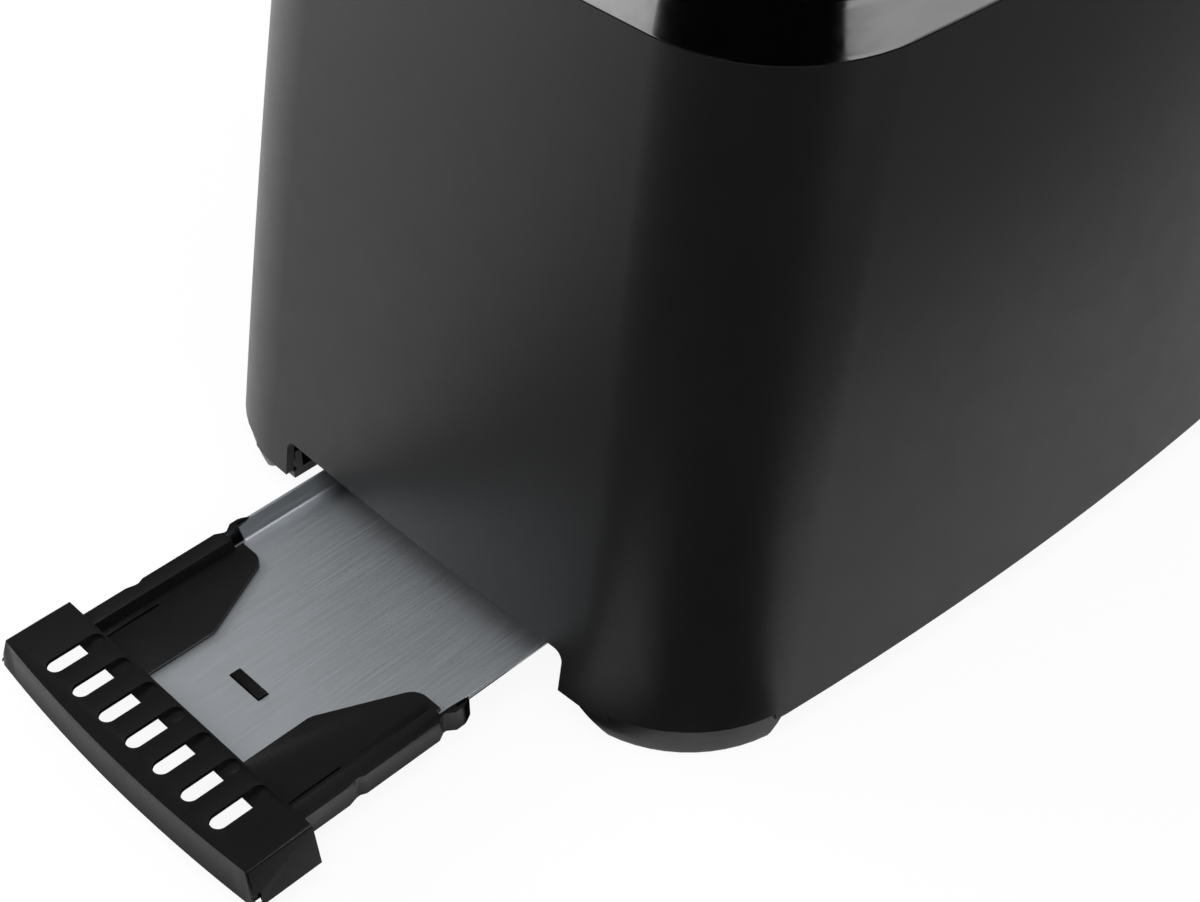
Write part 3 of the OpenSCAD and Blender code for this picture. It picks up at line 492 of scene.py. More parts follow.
# %% Plastics, rubber and boards
def grey(v, tint=(1, 1, 1)):
    return (v * tint[0], v * tint[1], v * tint[2], 1)


def start(name, **values):
    """A new material, its tree and its Principled shader with some values typed in."""
    m = bpy.data.materials.new(name)
    m.use_nodes = True
    return m, m.node_tree, type_in(m.node_tree.nodes["Principled BSDF"], values)


def placed(tree, group, **values):
    """A node group placed in a material."""
    made = tree.nodes.new("ShaderNodeGroup")
    made.node_tree = group
    return type_in(made, values)


def moulded(name, tone, other, low, high, size=30, grains=2500, depth=0.25, specular=0.5, coat=0.0):
    """Moulded plastic: two close tones, a drifting shine and a grain."""
    m, t, p = start(name, Specular_IOR_Level=specular, Coat_Weight=coat, Coat_Roughness=0.08)
    drift = placed(t, drifting_tone, Tone=tone, Other_tone=other, Size=size, Shine_low=low, Shine_high=high)
    grain = placed(t, mould_grain, Grains_per_metre=grains)
    bump = node(t, "Bump", Strength=depth, Distance=0.1 * MM)
    wire(t, (drift, "Color", p, "Base Color"), (drift, "Roughness", p, "Roughness"),
         (grain, "Height", bump, "Height"), (bump, "Normal", p, "Normal"))
    return m


FINISH = {
    "shell_plastic": moulded("Matte charcoal shell", grey(0.0080, (1, 1, 1.03)), grey(0.0062), 0.34, 0.41,
                             size=14, grains=2200, specular=0.3),
    "base_plastic": moulded("Satin black base", grey(0.010), grey(0.008), 0.36, 0.46,
                            grains=1800, specular=0.4),
    "black_plastic": moulded("Satin black mouldings", grey(0.0050, (1, 1, 1.06)), grey(0.0040), 0.22, 0.30,
                             size=45, grains=2600, depth=0.12, specular=0.27),
    "gloss_black": moulded("Gloss black panel", grey(0.005), grey(0.004), 0.10, 0.16,
                           size=25, grains=1200, depth=0.05, coat=0.6),
    "rubber": moulded("Black rubber", grey(0.018), grey(0.012), 0.7, 0.85,
                      size=120, grains=3500, depth=0.5, specular=0.3),
    "nylon": moulded("Natural nylon", grey(0.62, (1, 0.95, 0.8)), grey(0.55, (1, 0.94, 0.76)), 0.35, 0.5,
                     size=60, grains=2200, depth=0.2),
    "board_green": moulded("Circuit board", (0.012, 0.10, 0.035, 1), (0.02, 0.16, 0.06, 1), 0.25, 0.4,
                           size=420, grains=900, depth=0.3),
    "mica": moulded("Mica board", grey(0.55, (1, 0.9, 0.7)), grey(0.36, (1, 0.88, 0.66)), 0.25, 0.6,
                    size=220, grains=420, depth=0.6),
}
print("plastics:", len(FINISH))


# %% Metals
def metal(name, tone, other, low, high, streaks=900, depth=0.05):
    """Bare metal: streaks carry both a tone and a shine."""
    m, t, p = start(name, Metallic=1.0)
    lines = placed(t, rolled_streaks, Streaks_per_metre=streaks, Shine_low=low, Shine_high=high)
    mix = node(t, "Mix", data_type="RGBA")
    mix.inputs[6].default_value, mix.inputs[7].default_value = tone, other
    bump = node(t, "Bump", Strength=depth, Distance=0.1 * MM)
    wire(t, (lines, "Mask", mix, 0), (mix, 2, p, "Base Color"), (lines, "Roughness", p, "Roughness"),
         (lines, "Mask", bump, "Height"), (bump, "Normal", p, "Normal"))
    return m


FINISH.update({
    "cover_steel": metal("Polished dark steel cover", grey(0.30), grey(0.26), 0.10, 0.15, 300, 0.0),
    "tray_steel": metal("Galvanised tray sheet", grey(0.80, (0.95, 1, 1.05)), grey(0.74, (0.95, 1, 1.06)),
                        0.40, 0.46, 1600, 0.04),
    "chassis_steel": metal("Aluminised sheet", grey(0.62), grey(0.5), 0.3, 0.45, 600, 0.08),
    "wire_steel": metal("Plated wire", grey(0.66), grey(0.56), 0.16, 0.28, 1200, 0.03),
    "ribbon": metal("Oxidised heating ribbon", grey(0.22, (1, 0.85, 0.7)), grey(0.12, (1, 0.9, 0.9)),
                    0.4, 0.6),
    "copper": metal("Enamelled copper winding", (0.55, 0.20, 0.08, 1), (0.35, 0.11, 0.04, 1),
                    0.25, 0.4, 2600, 0.3),
    "iron": metal("Laminated iron", grey(0.2), grey(0.13), 0.4, 0.6, 1500, 0.2),
    "screw_steel": metal("Zinc plated screws", grey(0.55, (1, 1, 0.97)), grey(0.45), 0.25, 0.4),
})
print("finishes:", len(FINISH))

# %% [markdown]
# ## Camera
# The camera stands in front of the near corner of the tray end, above the body,
# and looks down at it by about 43 degrees. A long lens keeps the edges close to
# parallel.

# %% Set the camera
BODY_X = sum(c.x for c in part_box("top_cover")) / 2 / MM
TILT, HEADING, LENS, SENSOR = 47.147, -44.25, 64.19, 36
CAMERA_X, CAMERA_Y, CAMERA_Z = -0.39274, -0.2953, 0.3921
cam = bpy.data.cameras.new("Camera")
cam.lens, cam.sensor_width = LENS, SENSOR
cam.clip_start, cam.clip_end = 0.01, 20
view = bpy.data.objects.new("Camera", cam)
view.location = (CAMERA_X + BODY_X * MM, CAMERA_Y, CAMERA_Z)
view.rotation_euler = (math.radians(TILT), 0, math.radians(HEADING))
bpy.context.scene.collection.objects.link(view)
bpy.context.scene.camera = view
print("body's middle along X:", round(BODY_X, 2), "mm; camera at", [round(c, 3) for c in view.location])

# %% [markdown]
# ## Floor and light
# A black object shows what stands round it, so the light is built from large
# plain surfaces: a pale floor, a soft sky and soft lamps at either side. The
# floor glows a little for the camera and for reflections, and its other part is
# a plain matt surface that takes the object's shadow. In a studio, black cards
# stand round such an object, out of the camera's sight, to draw a dark band
# down its near corner. Here they are seen in reflections only, and so are two
# lighter ones: a pale card in front of the handle lights its bowed face, and a
# grey one along the long side takes the floor's glare off its lower part.

# %% Floor
floor_glow = {"Is Camera Ray": 0.92, "Is Glossy Ray": 0.26, "Is Transmission Ray": 0.92}
FLOOR_SIDE = 12
deselect()
bpy.ops.mesh.primitive_plane_add(size=1)
floor = bpy.context.object
floor.name = "floor"
floor.scale = (FLOOR_SIDE, FLOOR_SIDE, 1)
floor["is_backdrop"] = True
m, t, p = start("Pale floor", Roughness=0.9, Specular_IOR_Level=0.0, Base_Color=grey(0.86))
path = node(t, "LightPath")
shares = [sum_node(t, by=amount) for amount in floor_glow.values()]
wire(t, *[(path, ray, share, 0) for ray, share in zip(floor_glow, shares)])
glow = shares[0]
for extra in shares[1:]:
    larger = node(t, "Math", operation="MAXIMUM")
    wire(t, (glow, 0, larger, 0), (extra, 0, larger, 1))
    glow = larger
white = node(t, "Emission", Color=grey(1.0), Strength=1.0)
blend = node(t, "MixShader")
wire(t, (glow, 0, blend, 0), (p, 0, blend, 1), (white, 0, blend, 2),
     (blend, 0, t.nodes["Material Output"], 0))
floor.data.materials.append(m)
print("floor laid")

# %% Sky
SKY_FOR_LIGHT, SKY_SEEN, LESS_IN_SHINE = 0.5, 1.0, -0.28
world = bpy.data.worlds.new("Soft sky")
bpy.context.scene.world = world
world.use_nodes = True
t = world.node_tree
sky = type_in(t.nodes["Background"], {"Color": grey(1.0)})
path = node(t, "LightPath")
seen = node(t, "Math", operation="MAXIMUM")
level = node(t, "MapRange", To_Min=SKY_FOR_LIGHT, To_Max=SKY_SEEN)
dimmer = sum_node(t, "MULTIPLY_ADD", LESS_IN_SHINE)
wire(t, (path, "Is Camera Ray", seen, 0), (path, "Is Transmission Ray", seen, 1), (seen, 0, level, "Value"),
     (path, "Is Glossy Ray", dimmer, 0), (level, 0, dimmer, 2), (dimmer, 0, sky, "Strength"))
print("sky strength for light:", SKY_FOR_LIGHT)


# %% Lamps
def lamp(name, place, aim, size, power):
    """A rectangular soft lamp that looks at a point; it isn't seen by the camera itself."""
    data = bpy.data.lights.new(name, "AREA")
    data.shape, data.size, data.size_y, data.energy = "RECTANGLE", *size, power
    obj = bpy.data.objects.new(name, data)
    obj.location = place
    obj.rotation_euler = (Vector(aim) - Vector(place)).to_track_quat("-Z", "Y").to_euler()
    obj.visible_camera = False
    bpy.context.scene.collection.objects.link(obj)


lamp("left_softbox", place=(-0.7, 1.3, 0.42), aim=(-0.1, 0, 0.1), size=(0.9, 0.7), power=22)
lamp("right_softbox", place=(0.5, -1.1, 1.3), aim=(0, 0, 0.1), size=(0.4, 0.4), power=3)
lamp("top_softbox", place=(-0.5, -0.4, 1.5), aim=(0, 0, 0.1), size=(1.2, 1.2), power=14)


# %% Cards
def card(name, tone, z, height, corners):
    """A matt card at height z through some corners, or standing up from them, seen in reflections only."""
    card = scribe(name, [(x, y, z) for x, y in corners])
    if height:
        pull_out((0, 0, height))
    else:
        bpy.ops.mesh.edge_face_add()
    done(card)
    m = start(name, Base_Color=grey(tone), Roughness=1.0, Specular_IOR_Level=0.0)[0]
    card.data.materials.append(m)
    card.visible_camera = card.visible_diffuse = card.visible_shadow = card.visible_transmission = False
    card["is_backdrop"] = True


BLACK, PALE, GREY = 0.003, 0.42, 0.18
card("card_on_floor", BLACK, 1, 0, (
    (-125, -40), (-125, 53), (-205, 62), (-205, -43), (-140, -46), (-150, -90), (-215, -85), (-234, -50),
    (-234, 88), (-400, 150), (-1000, 530), (-1500, -400), (-900, -1400), (-330, -1500), (-130, -600),
    (-90, -102), (-120, -86)))
card("card_in_front", PALE, 1.2, 0, ((-210, -52), (-234, -52), (-234, 88), (-210, 88)))
card("card_behind", BLACK, 0, 900, ((-1000, 450), (-1300, -300), (-800, -1100), (-100, -1300), (1200, -1200)))
card("card_at_side", GREY, 1, 0, ((-110, -210), (-125, -520), (1600, -520), (1600, -210)))
bpy.context.scene.view_settings.view_transform = "Standard"

# %% [markdown]
# ## The body's outline
# Seen from above, the body is a long rectangle whose four sides are bowed and
# whose corners are round: eight arcs, each running smoothly into the next. As
# the body rises, its ends and sides lean in, and the corners keep their radius.
# The Spin tool turns a point about a centre and leaves an arc behind it, so one
# point spun nine times about the right centres draws the outline exactly; it
# starts in the middle of an end, so that end's arc is drawn in two halves.
# Only the corner's centre has to be worked out: it lies at the right distance
# from the centres of the two long arcs that the corner touches.

# %% The outline's measures
BODY_L, BODY_W = 340, 205
Z_LOW, Z_RIM = 8.5, 173
END_LEAN, SIDE_LEAN = 29, 11
SIDE_BOW, END_BOW, CORNER = 1080, 1500, 38


def lean(z):
    """Share of the lean reached at height z: a little barrelled."""
    t = (z - Z_LOW) / (Z_RIM - Z_LOW)
    return 0.9 * t + 0.1 * t * t


def half_length(z):
    return BODY_L / 2 - END_LEAN * lean(z)


def half_width(z):
    return BODY_W / 2 - SIDE_LEAN * lean(z)


def corner_arc(z):
    """Centre of the corner's arc at height z, and the angles where it begins and ends."""
    side = Vector((0, half_width(z) - SIDE_BOW))
    end = Vector((half_length(z) - END_BOW, 0))
    r_side, r_end = SIDE_BOW - CORNER, END_BOW - CORNER
    between = end - side
    d = between.length
    way = between / d
    h = (r_side ** 2 - r_end ** 2 + d ** 2) / (2 * d)
    k = math.sqrt(r_side ** 2 - h ** 2)
    c = side + way * h + Vector((way.y, -way.x)) * k
    return c, math.atan2(c.y - end.y, c.x - end.x), math.atan2(c.y - side.y, c.x - side.x)


print("corner centre at the lower edge:", [round(v, 2) for v in corner_arc(Z_LOW)[0]])

# %% Draw one outline by spinning a point
HALF_END_STEPS, CORNER_STEPS, SIDE_STEPS = 3, 14, 20


def outline(z, at_z, inset):
    """Adds the body's outline of height at_z, moved inwards, at height z."""
    c, a_end, a_side = corner_arc(at_z)
    end, side = half_length(at_z) - END_BOW, half_width(at_z) - SIDE_BOW
    start = Vector((half_length(at_z) - inset, 0, z)) * MM
    bpy.ops.mesh.primitive_plane_add(size=MM, location=start)
    bpy.ops.mesh.merge(type="CENTER")
    corner, long = (a_side - a_end, CORNER_STEPS), (math.pi - 2 * a_side, SIDE_STEPS)
    half_end = (a_end, HALF_END_STEPS)
    for (angle, steps), x, y in (
            (half_end, end, 0), (corner, c.x, c.y), (long, 0, side), (corner, -c.x, c.y),
            ((2 * a_end, 2 * HALF_END_STEPS), -end, 0), (corner, -c.x, -c.y), (long, 0, -side),
            (corner, c.x, -c.y), (half_end, end, 0)):
        bpy.ops.mesh.spin(steps=steps, angle=-angle, center=Vector((x, y, z)) * MM, axis=(0, 0, 1))
    bpy.ops.mesh.select_linked()
    bpy.ops.mesh.remove_doubles(threshold=0.05 * MM)


def pick_outlines(obj, *numbers):
    """Selects some of the outlines that were drawn; each has a vertex group."""
    select(False)
    for i in numbers:
        obj.vertex_groups.active_index = i
        bpy.ops.object.vertex_group_select()


def skin(name, rings, closed=False):
    """A skin through a stack of outlines, closed into a ring or capped at both ends."""
    deselect()
    bpy.ops.mesh.primitive_plane_add(size=MM)
    obj = home(name)
    edit(obj, all_of_it=True)
    bpy.ops.mesh.delete(type="VERT")
    for z, at_z, inset in rings:
        select(False)
        outline(z, at_z, inset)
        bpy.ops.object.vertex_group_assign_new()
    last = len(rings) - 1
    for j in range(last + closed):
        pick_outlines(obj, j, (j + 1) % len(rings))
        bpy.ops.mesh.bridge_edge_loops()
    for j in () if closed else (0, last):
        pick_outlines(obj, j)
        bpy.ops.mesh.edge_face_add()
    face_outwards()
    done(obj)
    obj.vertex_groups.clear()
    return obj


print("outline tool ready")

# %% [markdown]
# ## Handing a piece in
# Pieces of the body are made about the body's own middle. In the whole, the
# drawn-out tray shifts that middle along X, so each finished piece is moved by
# the same amount. Then it joins the body it moves with and takes its finish,
# and the construction pieces it stands for are hidden.

# %% Hand a piece in
def wear(obj, slot):
    """Gives a piece a finish and nothing else."""
    obj.data.materials.clear()
    obj.data.materials.append(FINISH[slot])


def hand_in(obj, body, slot, *nodes, shift=BODY_X):
    only(obj)
    bpy.ops.transform.translate(value=(shift * MM, 0, 0))
    home(obj.name)
    wear(obj, slot)
    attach(obj, body)
    if nodes:
        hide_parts(*nodes)
    bm = bmesh.new()
    bm.from_mesh(obj.data)
    low, high = ([round(end(v.co[i] for v in bm.verts) / MM, 1) for i in range(3)] for end in (min, max))
    print(obj.name, "faces:", len(bm.faces), "open edges:", sum(not e.is_manifold for e in bm.edges),
          "volume in cm3:", round(bm.calc_volume(signed=True) * 1e6, 1), "from", low, "to", high)
    bm.free()


print("ready to hand in")

# %% [markdown]
# ## The shell
# The real shell is one deep injection moulding in matte charcoal plastic with a
# wall of about 2.4 mm. It could be carved from a box with subdivision, but a
# skin through measured outlines keeps the drafted, slightly barrelled sides
# exact. The outlines go up the outside and come down the inside, so the skin
# is already a wall. The tray's mouth and the control window are cut through it.

# %% Skin of the wall
WALL = 2.4
levels = (Z_LOW, 9.7, 27, 46, 66, 86, 106, 126, 146, 165, 171.8, Z_RIM)
up = [(z, z, 0) for z in levels]
down = [(z, z, WALL) for z in reversed(levels)]
shell = skin("shell", up + down, closed=True)
print("wall points:", len(shell.data.vertices))

# %% [markdown]
# At each corner the wall's lower edge has a shallow notch, which the base's foot
# fills from below.

# %% Notches for the feet
FOOT_X, FOOT_Y, FOOT_TOP, FOOT_GAP = 139, 66, 10.3, 0.08
FAR_X, FAR_Y = 190, 120
combine(shell, *[block("foot_notch", (sx * FOOT_X, sy * FOOT_Y, -5),
                       (sx * FAR_X, sy * FAR_Y, FOOT_TOP + FOOT_GAP)) for sx, sy in CORNERS])
print("notched wall:", len(shell.data.polygons), "faces")

# %% [markdown]
# The tray's mouth has square lower corners, because the wall ends there, and
# rounded upper ones. The window for the controls is a rounded rectangle. Each
# cutter is a block whose edges are rounded before it is used.

# %% Cut the mouth and the window
MOUTH_HALF, MOUTH_Z, MOUTH_R = 51.4, 19.8, 3
PANEL_Z, PANEL_HALF, PANEL_X, PANEL_R = (34, 158), 46, 144.485, 8
BEZEL_WALL, BEZEL_GAP = 2.5, 0.2
mouth = round_edges(block("mouth", (-185, -MOUTH_HALF, -5), (-150, MOUTH_HALF, MOUTH_Z)),
                    lambda p: near(p.z, MOUTH_Z) and near(abs(p.y), MOUTH_HALF), MOUTH_R, 8, along("X"))
GROW = BEZEL_WALL + BEZEL_GAP
window = rounded_block("window", (PANEL_X - 4, -PANEL_HALF - GROW, PANEL_Z[0] - GROW),
                       (PANEL_X + 56, PANEL_HALF + GROW, PANEL_Z[1] + GROW), PANEL_R + GROW, "X", 10)
combine(shell, mouth, window)
clean(shell)
print("after cutting:", len(shell.data.vertices))

# %% [markdown]
# The four screw bosses stand inside the lower corners. A moulding's outer edges
# are eased by the tool; the lower and upper rims here by 0.6 mm.

# %% Bosses, easing and hand-in
BOSS_OUT, BOSS_Z, BOSS_H, BOSS_R, BORE_R = 28.6, 8.2, 22, 5, 1.6
boss_at = corner_arc(Z_LOW)[0] + BOSS_OUT * Vector((math.cos(math.pi / 4), math.sin(math.pi / 4)))
for sx, sy in CORNERS:
    x, y = sx * boss_at.x, sy * boss_at.y
    boss = rod("boss", (x, y, BOSS_Z + BOSS_H / 2), BOSS_R, BOSS_H, sides=40)
    combine(boss, rod("bore", (x, y, BOSS_Z + BOSS_H / 2 - 3), BORE_R, BOSS_H, sides=32))
    combine(shell, boss, how="UNION")
soften(shell, 0.6)
hand_in(shell, "housing", "shell_plastic", "outer_shell")

# %% [markdown]
# ## The top cover
# On the real object this is a drawn and polished steel cap in a dark chrome
# finish, with two slots whose edges are rolled down towards the bread. Its
# section is followed once round: top face, shoulder, wall, the ledge that
# rests in the shell, the skirt, and back up the inside. Outlines at each of
# those corners, bridged, make the whole cap in one skin, and the two ends of
# the stack are closed with a face each.

# %% Skin of the cover
COVER_Z0, COVER_Z1, SHEET, SHOULDER, LEAN_IN = 173.2, 192, 1.2, 9, 2.2
SKIRT, SKIRT_Z = WALL + 0.3, 166


def shoulder(steps, inward):
    """Outlines round the shoulder, from the top face down, for a surface moved inwards."""
    r = SHOULDER - inward
    turn = [math.pi / 2 * (1 - j / steps) for j in range(steps + 1)]
    return [(COVER_Z1 - SHOULDER + r * math.sin(a), Z_RIM, LEAN_IN + inward + r * (1 - math.cos(a)))
            for a in turn]


outside = shoulder(10, 0) + [(COVER_Z0 + 1, Z_RIM, 0.23), (COVER_Z0, Z_RIM, 0)]
seat = [(COVER_Z0 + 0.1, Z_RIM, SKIRT), (SKIRT_Z, SKIRT_Z, SKIRT), (SKIRT_Z + 0.1, SKIRT_Z, SKIRT + SHEET),
        (COVER_Z0 + 1.5, COVER_Z0 + 1.5, SKIRT + SHEET), (COVER_Z0 + 1.6, Z_RIM, SHEET)]
inside = list(reversed(shoulder(10, SHEET)))
cover = skin("cover", outside + seat + inside)
print("cover points:", len(cover.data.vertices))

# %% [markdown]
# A collar round each slot, added first, becomes the turned-down lip. The slot
# itself is cut with a block that flares at its top, and the flare leaves the
# rolled edge, 2 mm in radius. It is drawn in eight small steps: each one lifts
# the top face and pushes its outline outwards along the quarter circle.

# %% A cutter that flares along a quarter circle
SLOT_X, SLOT_L, SLOT_W, PITCH, LIP, SLOT_R, ROLL, ROLL_STEPS = -14, 180, 32, 52, 7.6, 6, 2, 8


def push_outline(cutter, out):
    """Moves the selected face's outline outwards in its plane."""
    bm = bmesh.from_edit_mesh(cutter.data)
    face = [f for f in bm.faces if f.select][0]
    moves = []
    for l in face.loops:
        before = (l.vert.co - l.link_loop_prev.vert.co).normalized()
        after = (l.link_loop_next.vert.co - l.vert.co).normalized()
        n1, n2 = Vector((before.y, -before.x, 0)), Vector((after.y, -after.x, 0))
        mid = (n1 + n2).normalized()
        moves.append((l.vert, mid * out / max(mid.dot(n1), 0.5)))
    for v, d in moves:
        v.co += d
    bmesh.update_edit_mesh(cutter.data)


def flare(cutter):
    """Lets the upper end of a slot cutter spread along a quarter circle."""
    pick_faces(cutter, lambda p, n: n.z > 0.9)
    angles = [math.pi / 2 * k / ROLL_STEPS for k in range(ROLL_STEPS + 1)]
    for a, b in zip(angles, angles[1:]):
        bpy.ops.mesh.extrude_region_shrink_fatten(
            MESH_OT_extrude_region={}, TRANSFORM_OT_shrink_fatten={"value": 0.0})
        bpy.ops.transform.translate(value=(0, 0, ROLL * (math.sin(b) - math.sin(a)) * MM))
        push_outline(cutter, ROLL * (math.cos(a) - math.cos(b)) * MM)
    pull_out((0, 0, 1))
    return done(cutter)


print("rolled edge in", ROLL_STEPS, "steps")

# %% Cut the slots
def over_slot(name, side, margin, low, high, radius):
    """A rounded block over a slot, larger than it by a margin."""
    x, y, half_x, half_y = SLOT_X, side * PITCH / 2, SLOT_L / 2 + margin, SLOT_W / 2 + margin
    return rounded_block(name, (x - half_x, y - half_y, low), (x + half_x, y + half_y, high), radius, "Z")


for side in SIDES:
    collar = over_slot("collar", side, SHEET, COVER_Z1 - LIP, COVER_Z1 - 0.6, SLOT_R + SHEET)
    combine(cover, collar, how="UNION")
    combine(cover, flare(over_slot("slot", side, 0, COVER_Z1 - LIP - 3, COVER_Z1 - ROLL, SLOT_R)))
soften(cover, 0.25, 2)
hand_in(cover, "housing", "cover_steel", "top_cover")

# %% [markdown]
# ## The crumb tray's handle
# One black moulding holds the tray: a hollow front bar with a bowed face, seven
# finger slots, two arms that grip the pan's rims, and two thin webs that lie on
# the pan. It is modelled about the middle of its row of slots. The bowed and
# sloping front is found where a block meets a very large cone, because an
# intersection gives that curve exactly.

# %% The bar: a drafted block meets a cone
TRAY_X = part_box("tray_pan")[0].x / MM - 5
BAR_LOW, BAR_TOP, BACK, BAR_LEAN, BAR_WALL = 6.2, 15.5, 11.1, 1.0, 1.0
HALF_LOW, HALF_TOP = 49.9, 46.6
BOW_R, BOW_FRONT, BOW_SLOPE, BOW_SIDES = 482, 10.6, 1.3, 720


def spread_top(obj, share):
    """Widens or narrows the upper face in Y."""
    pick_faces(obj, lambda p, n: n.z > 0.9)
    bpy.ops.transform.resize(value=(1, share, 1), center_override=(0, 0, 0))
    return done(obj)


def bar(name, wall):
    """The bar's solid form, moved inwards by a wall."""
    low, top, half = BAR_LOW - wall, BAR_TOP - wall, HALF_LOW - wall
    obj = block(name, (-21, -half, low), (BACK + (1 if wall else 0), half, top))
    spread_top(obj, (HALF_TOP - wall) / half)
    pick_points(obj, lambda p: p.x > 0 and near(p.z, low))
    snap(move_picked(obj, (-BAR_LEAN, 0, 0)))
    deselect()
    bpy.ops.mesh.primitive_cone_add(vertices=BOW_SIDES, radius1=(BOW_R - wall) * MM,
                                    radius2=(BOW_R - wall - BOW_SLOPE) * MM, depth=(top - low) * MM,
                                    location=Vector((BOW_R - BOW_FRONT, 0, (low + top) / 2)) * MM)
    return combine(obj, home("bow"), how="INTERSECT")


handle = bar("handle", 0)
print("bar points:", len(handle.data.vertices))

# %% [markdown]
# The long edges between the top and the sloping ends roll over broadly, and the
# two front corners are soft too. They are rounded now, while the bar is still a
# simple block; the fine edges follow when everything is cut. The lowest ring of
# edges stays sharp.

# %% Round the ends
DRAFT, BAR_ROLL = (HALF_LOW - HALF_TOP) / (BAR_TOP - BAR_LOW), 2.9


def on_end(p):
    return near(abs(p.y) + (p.z - BAR_LOW) * DRAFT, HALF_LOW, 0.05)


round_edges(handle, lambda p: on_end(p) and (near(p.z, BAR_TOP) or p.x < -7), BAR_ROLL, 8,
            lambda a, b: max(a.z, b.z) > BAR_LOW + 0.05)
print("rounded bar points:", len(handle.data.vertices))

# %% [markdown]
# The bar is hollow from below, with thin walls. Its back wall is a wedge: it
# reaches forward under the rear half of the top as a ledge, and leans back below
# it. Slits mark the lower corners of the front.

# %% Hollow the bar
LEDGE_X, LEDGE_Z, WEDGE_LOW = 5.4, 13.6, 7.4
SLIT_HALF, SLIT_DEEP, SLIT_HIGH = 0.6, 5, 3.2
wedge = scribed("wedge", [(x, -60, z) for x, z in (
    (LEDGE_X, 20), (LEDGE_X, LEDGE_Z), (BACK - 0.7, WEDGE_LOW), (BACK + 5, WEDGE_LOW), (BACK + 5, 20))],
    pull=(0, 120, 0))
combine(handle, combine(bar("hollow", BAR_WALL), wedge))
for side in SIDES:
    y = side * (HALF_LOW - BAR_WALL)
    combine(handle, block("slit", (-BOW_FRONT - 1, y - SLIT_HALF, BAR_LOW - 1),
                          (-BOW_FRONT + SLIT_DEEP, y + SLIT_HALF, BAR_LOW + SLIT_HIGH)))
clean(handle)
print("hollow bar:", len(handle.data.polygons), "faces")

# %% [markdown]
# ## Arms, webs and tongue
# An arm is a rib with a flat top band and a steep step down to the web. Its outer
# face has a shallow dent, and behind a dip it ends in a barb that stops the
# tray on its way out. The web narrows to a round tip.

# %% One arm with its web
ARM_W, ARM_LOW, ARM_TOP, ARM_END, WEB_Z, WEB_T = 42.6, 6.9, 13.2, 60.0, 9.4, 1
START, DENT, BARB, TIP = BACK - 1, BACK + 13, ARM_END - 9.2, ARM_END - 4.4
ARM_IN, WEB_STEP, WEB_Y, TIP_Y, TIP_R = 40.7, ARM_W - 7.6, 18.5, 32.8, 5
rib = scribed("rib", [(START, y, z) for y, z in (
    (ARM_W - 1.2, ARM_LOW), (ARM_W - 1.2, ARM_TOP), (ARM_W - 4.6, ARM_TOP), (ARM_W - 5.9, WEB_Z + 1.4),
    (WEB_STEP, WEB_Z + WEB_T), (WEB_STEP, WEB_Z), (ARM_IN, WEB_Z), (ARM_IN, ARM_LOW))],
    pull=(BARB + 2 - START, 0, 0))
strip = scribed("strip", [(x, y, ARM_LOW) for x, y in (
    (START, ARM_IN), (START, ARM_W), (DENT, ARM_W), (DENT + 2.5, ARM_W - 0.65), (DENT + 3.5, ARM_W - 0.65),
    (DENT + 5, ARM_W), (BARB, ARM_W), (BARB + 2.2, ARM_W - 1.2), (BARB + 3, ARM_W - 1.2),
    (BARB + 5, ARM_W + 0.3), (BARB + 7.6, ARM_W + 0.3), (BARB + 8.6, ARM_W - 0.1),
    (ARM_END + 1.2, ARM_W - 1.1), (ARM_END + 0.2, ARM_W - 1.5), (BARB + 5, ARM_IN))],
    pull=(0, 0, ARM_TOP - ARM_LOW))
tip_arc = [(TIP - TIP_R + TIP_R * math.cos(a), TIP_Y + TIP_R * math.sin(a))
           for a in [math.radians(-64 + 8 * k) for k in range(9)]]
web = scribed("web", [(x, y, WEB_Z) for x, y in (
    (START, ARM_W - 5), (START, WEB_Y), (TIP - 23.9, WEB_Y), (TIP - 22.5, WEB_Y + 0.4), *tip_arc,
    (TIP, ARM_W - 5))], pull=(0, 0, WEB_T))
arm = combine(rib, strip, web, how="UNION")
combine(arm, block("groove", (BACK + 0.8, WEB_STEP - 0.35, WEB_Z + 0.5),
                   (BACK + 16.8, WEB_STEP + 0.35, WEB_Z + 2)))
clean(arm)
print("arm:", len(arm.data.polygons), "faces")

# %% [markdown]
# The second arm is the first one mirrored. A tongue below the pan carries the
# small barb that snaps up through the pan's window. All parts are joined to the
# bar as one solid.

# %% Join the moulding
PAN_Z, PAN_T = 9.3, 0.6
TONGUE_Z, TONGUE_T, TONGUE_HALF, TONGUE_END = 7.7, 0.9, 7, 32.3
CATCH_X, CATCH_HALF, CATCH_Z = (27.3, 30), 5.4, PAN_Z + 0.4
tongue = block("tongue", (BACK - 0.5, -TONGUE_HALF, TONGUE_Z), (TONGUE_END, TONGUE_HALF, TONGUE_Z + TONGUE_T))
barb = block("barb", (CATCH_X[0], -CATCH_HALF, PAN_Z - PAN_T - 0.2), (CATCH_X[1], CATCH_HALF, CATCH_Z))
round_edges(barb, lambda p: near(p.z, CATCH_Z) and near(p.x, CATCH_X[1]), 0.8, 3)
combine(handle, arm, twin(arm, "other_arm", mirror=(1, -1, 1)), tongue, barb, how="UNION")
clean(handle)
print("moulding:", len(handle.data.polygons), "faces")

# %% [markdown]
# Each finger slot is two cuts: a hole right through the thin top that stops at
# the ledge with a straight edge, and a scooped pocket in the ledge whose floor
# rises to a round end. One cutter is modelled and copied seven times.

# %% Cut the slots and hand it in
GRIP_W, GRIP_L, GRIP_X, GRIP_PITCH = 4.5, 15.4, -5, 10.5
GRIP_END, ABOVE = GRIP_X + GRIP_L, BAR_TOP + 5


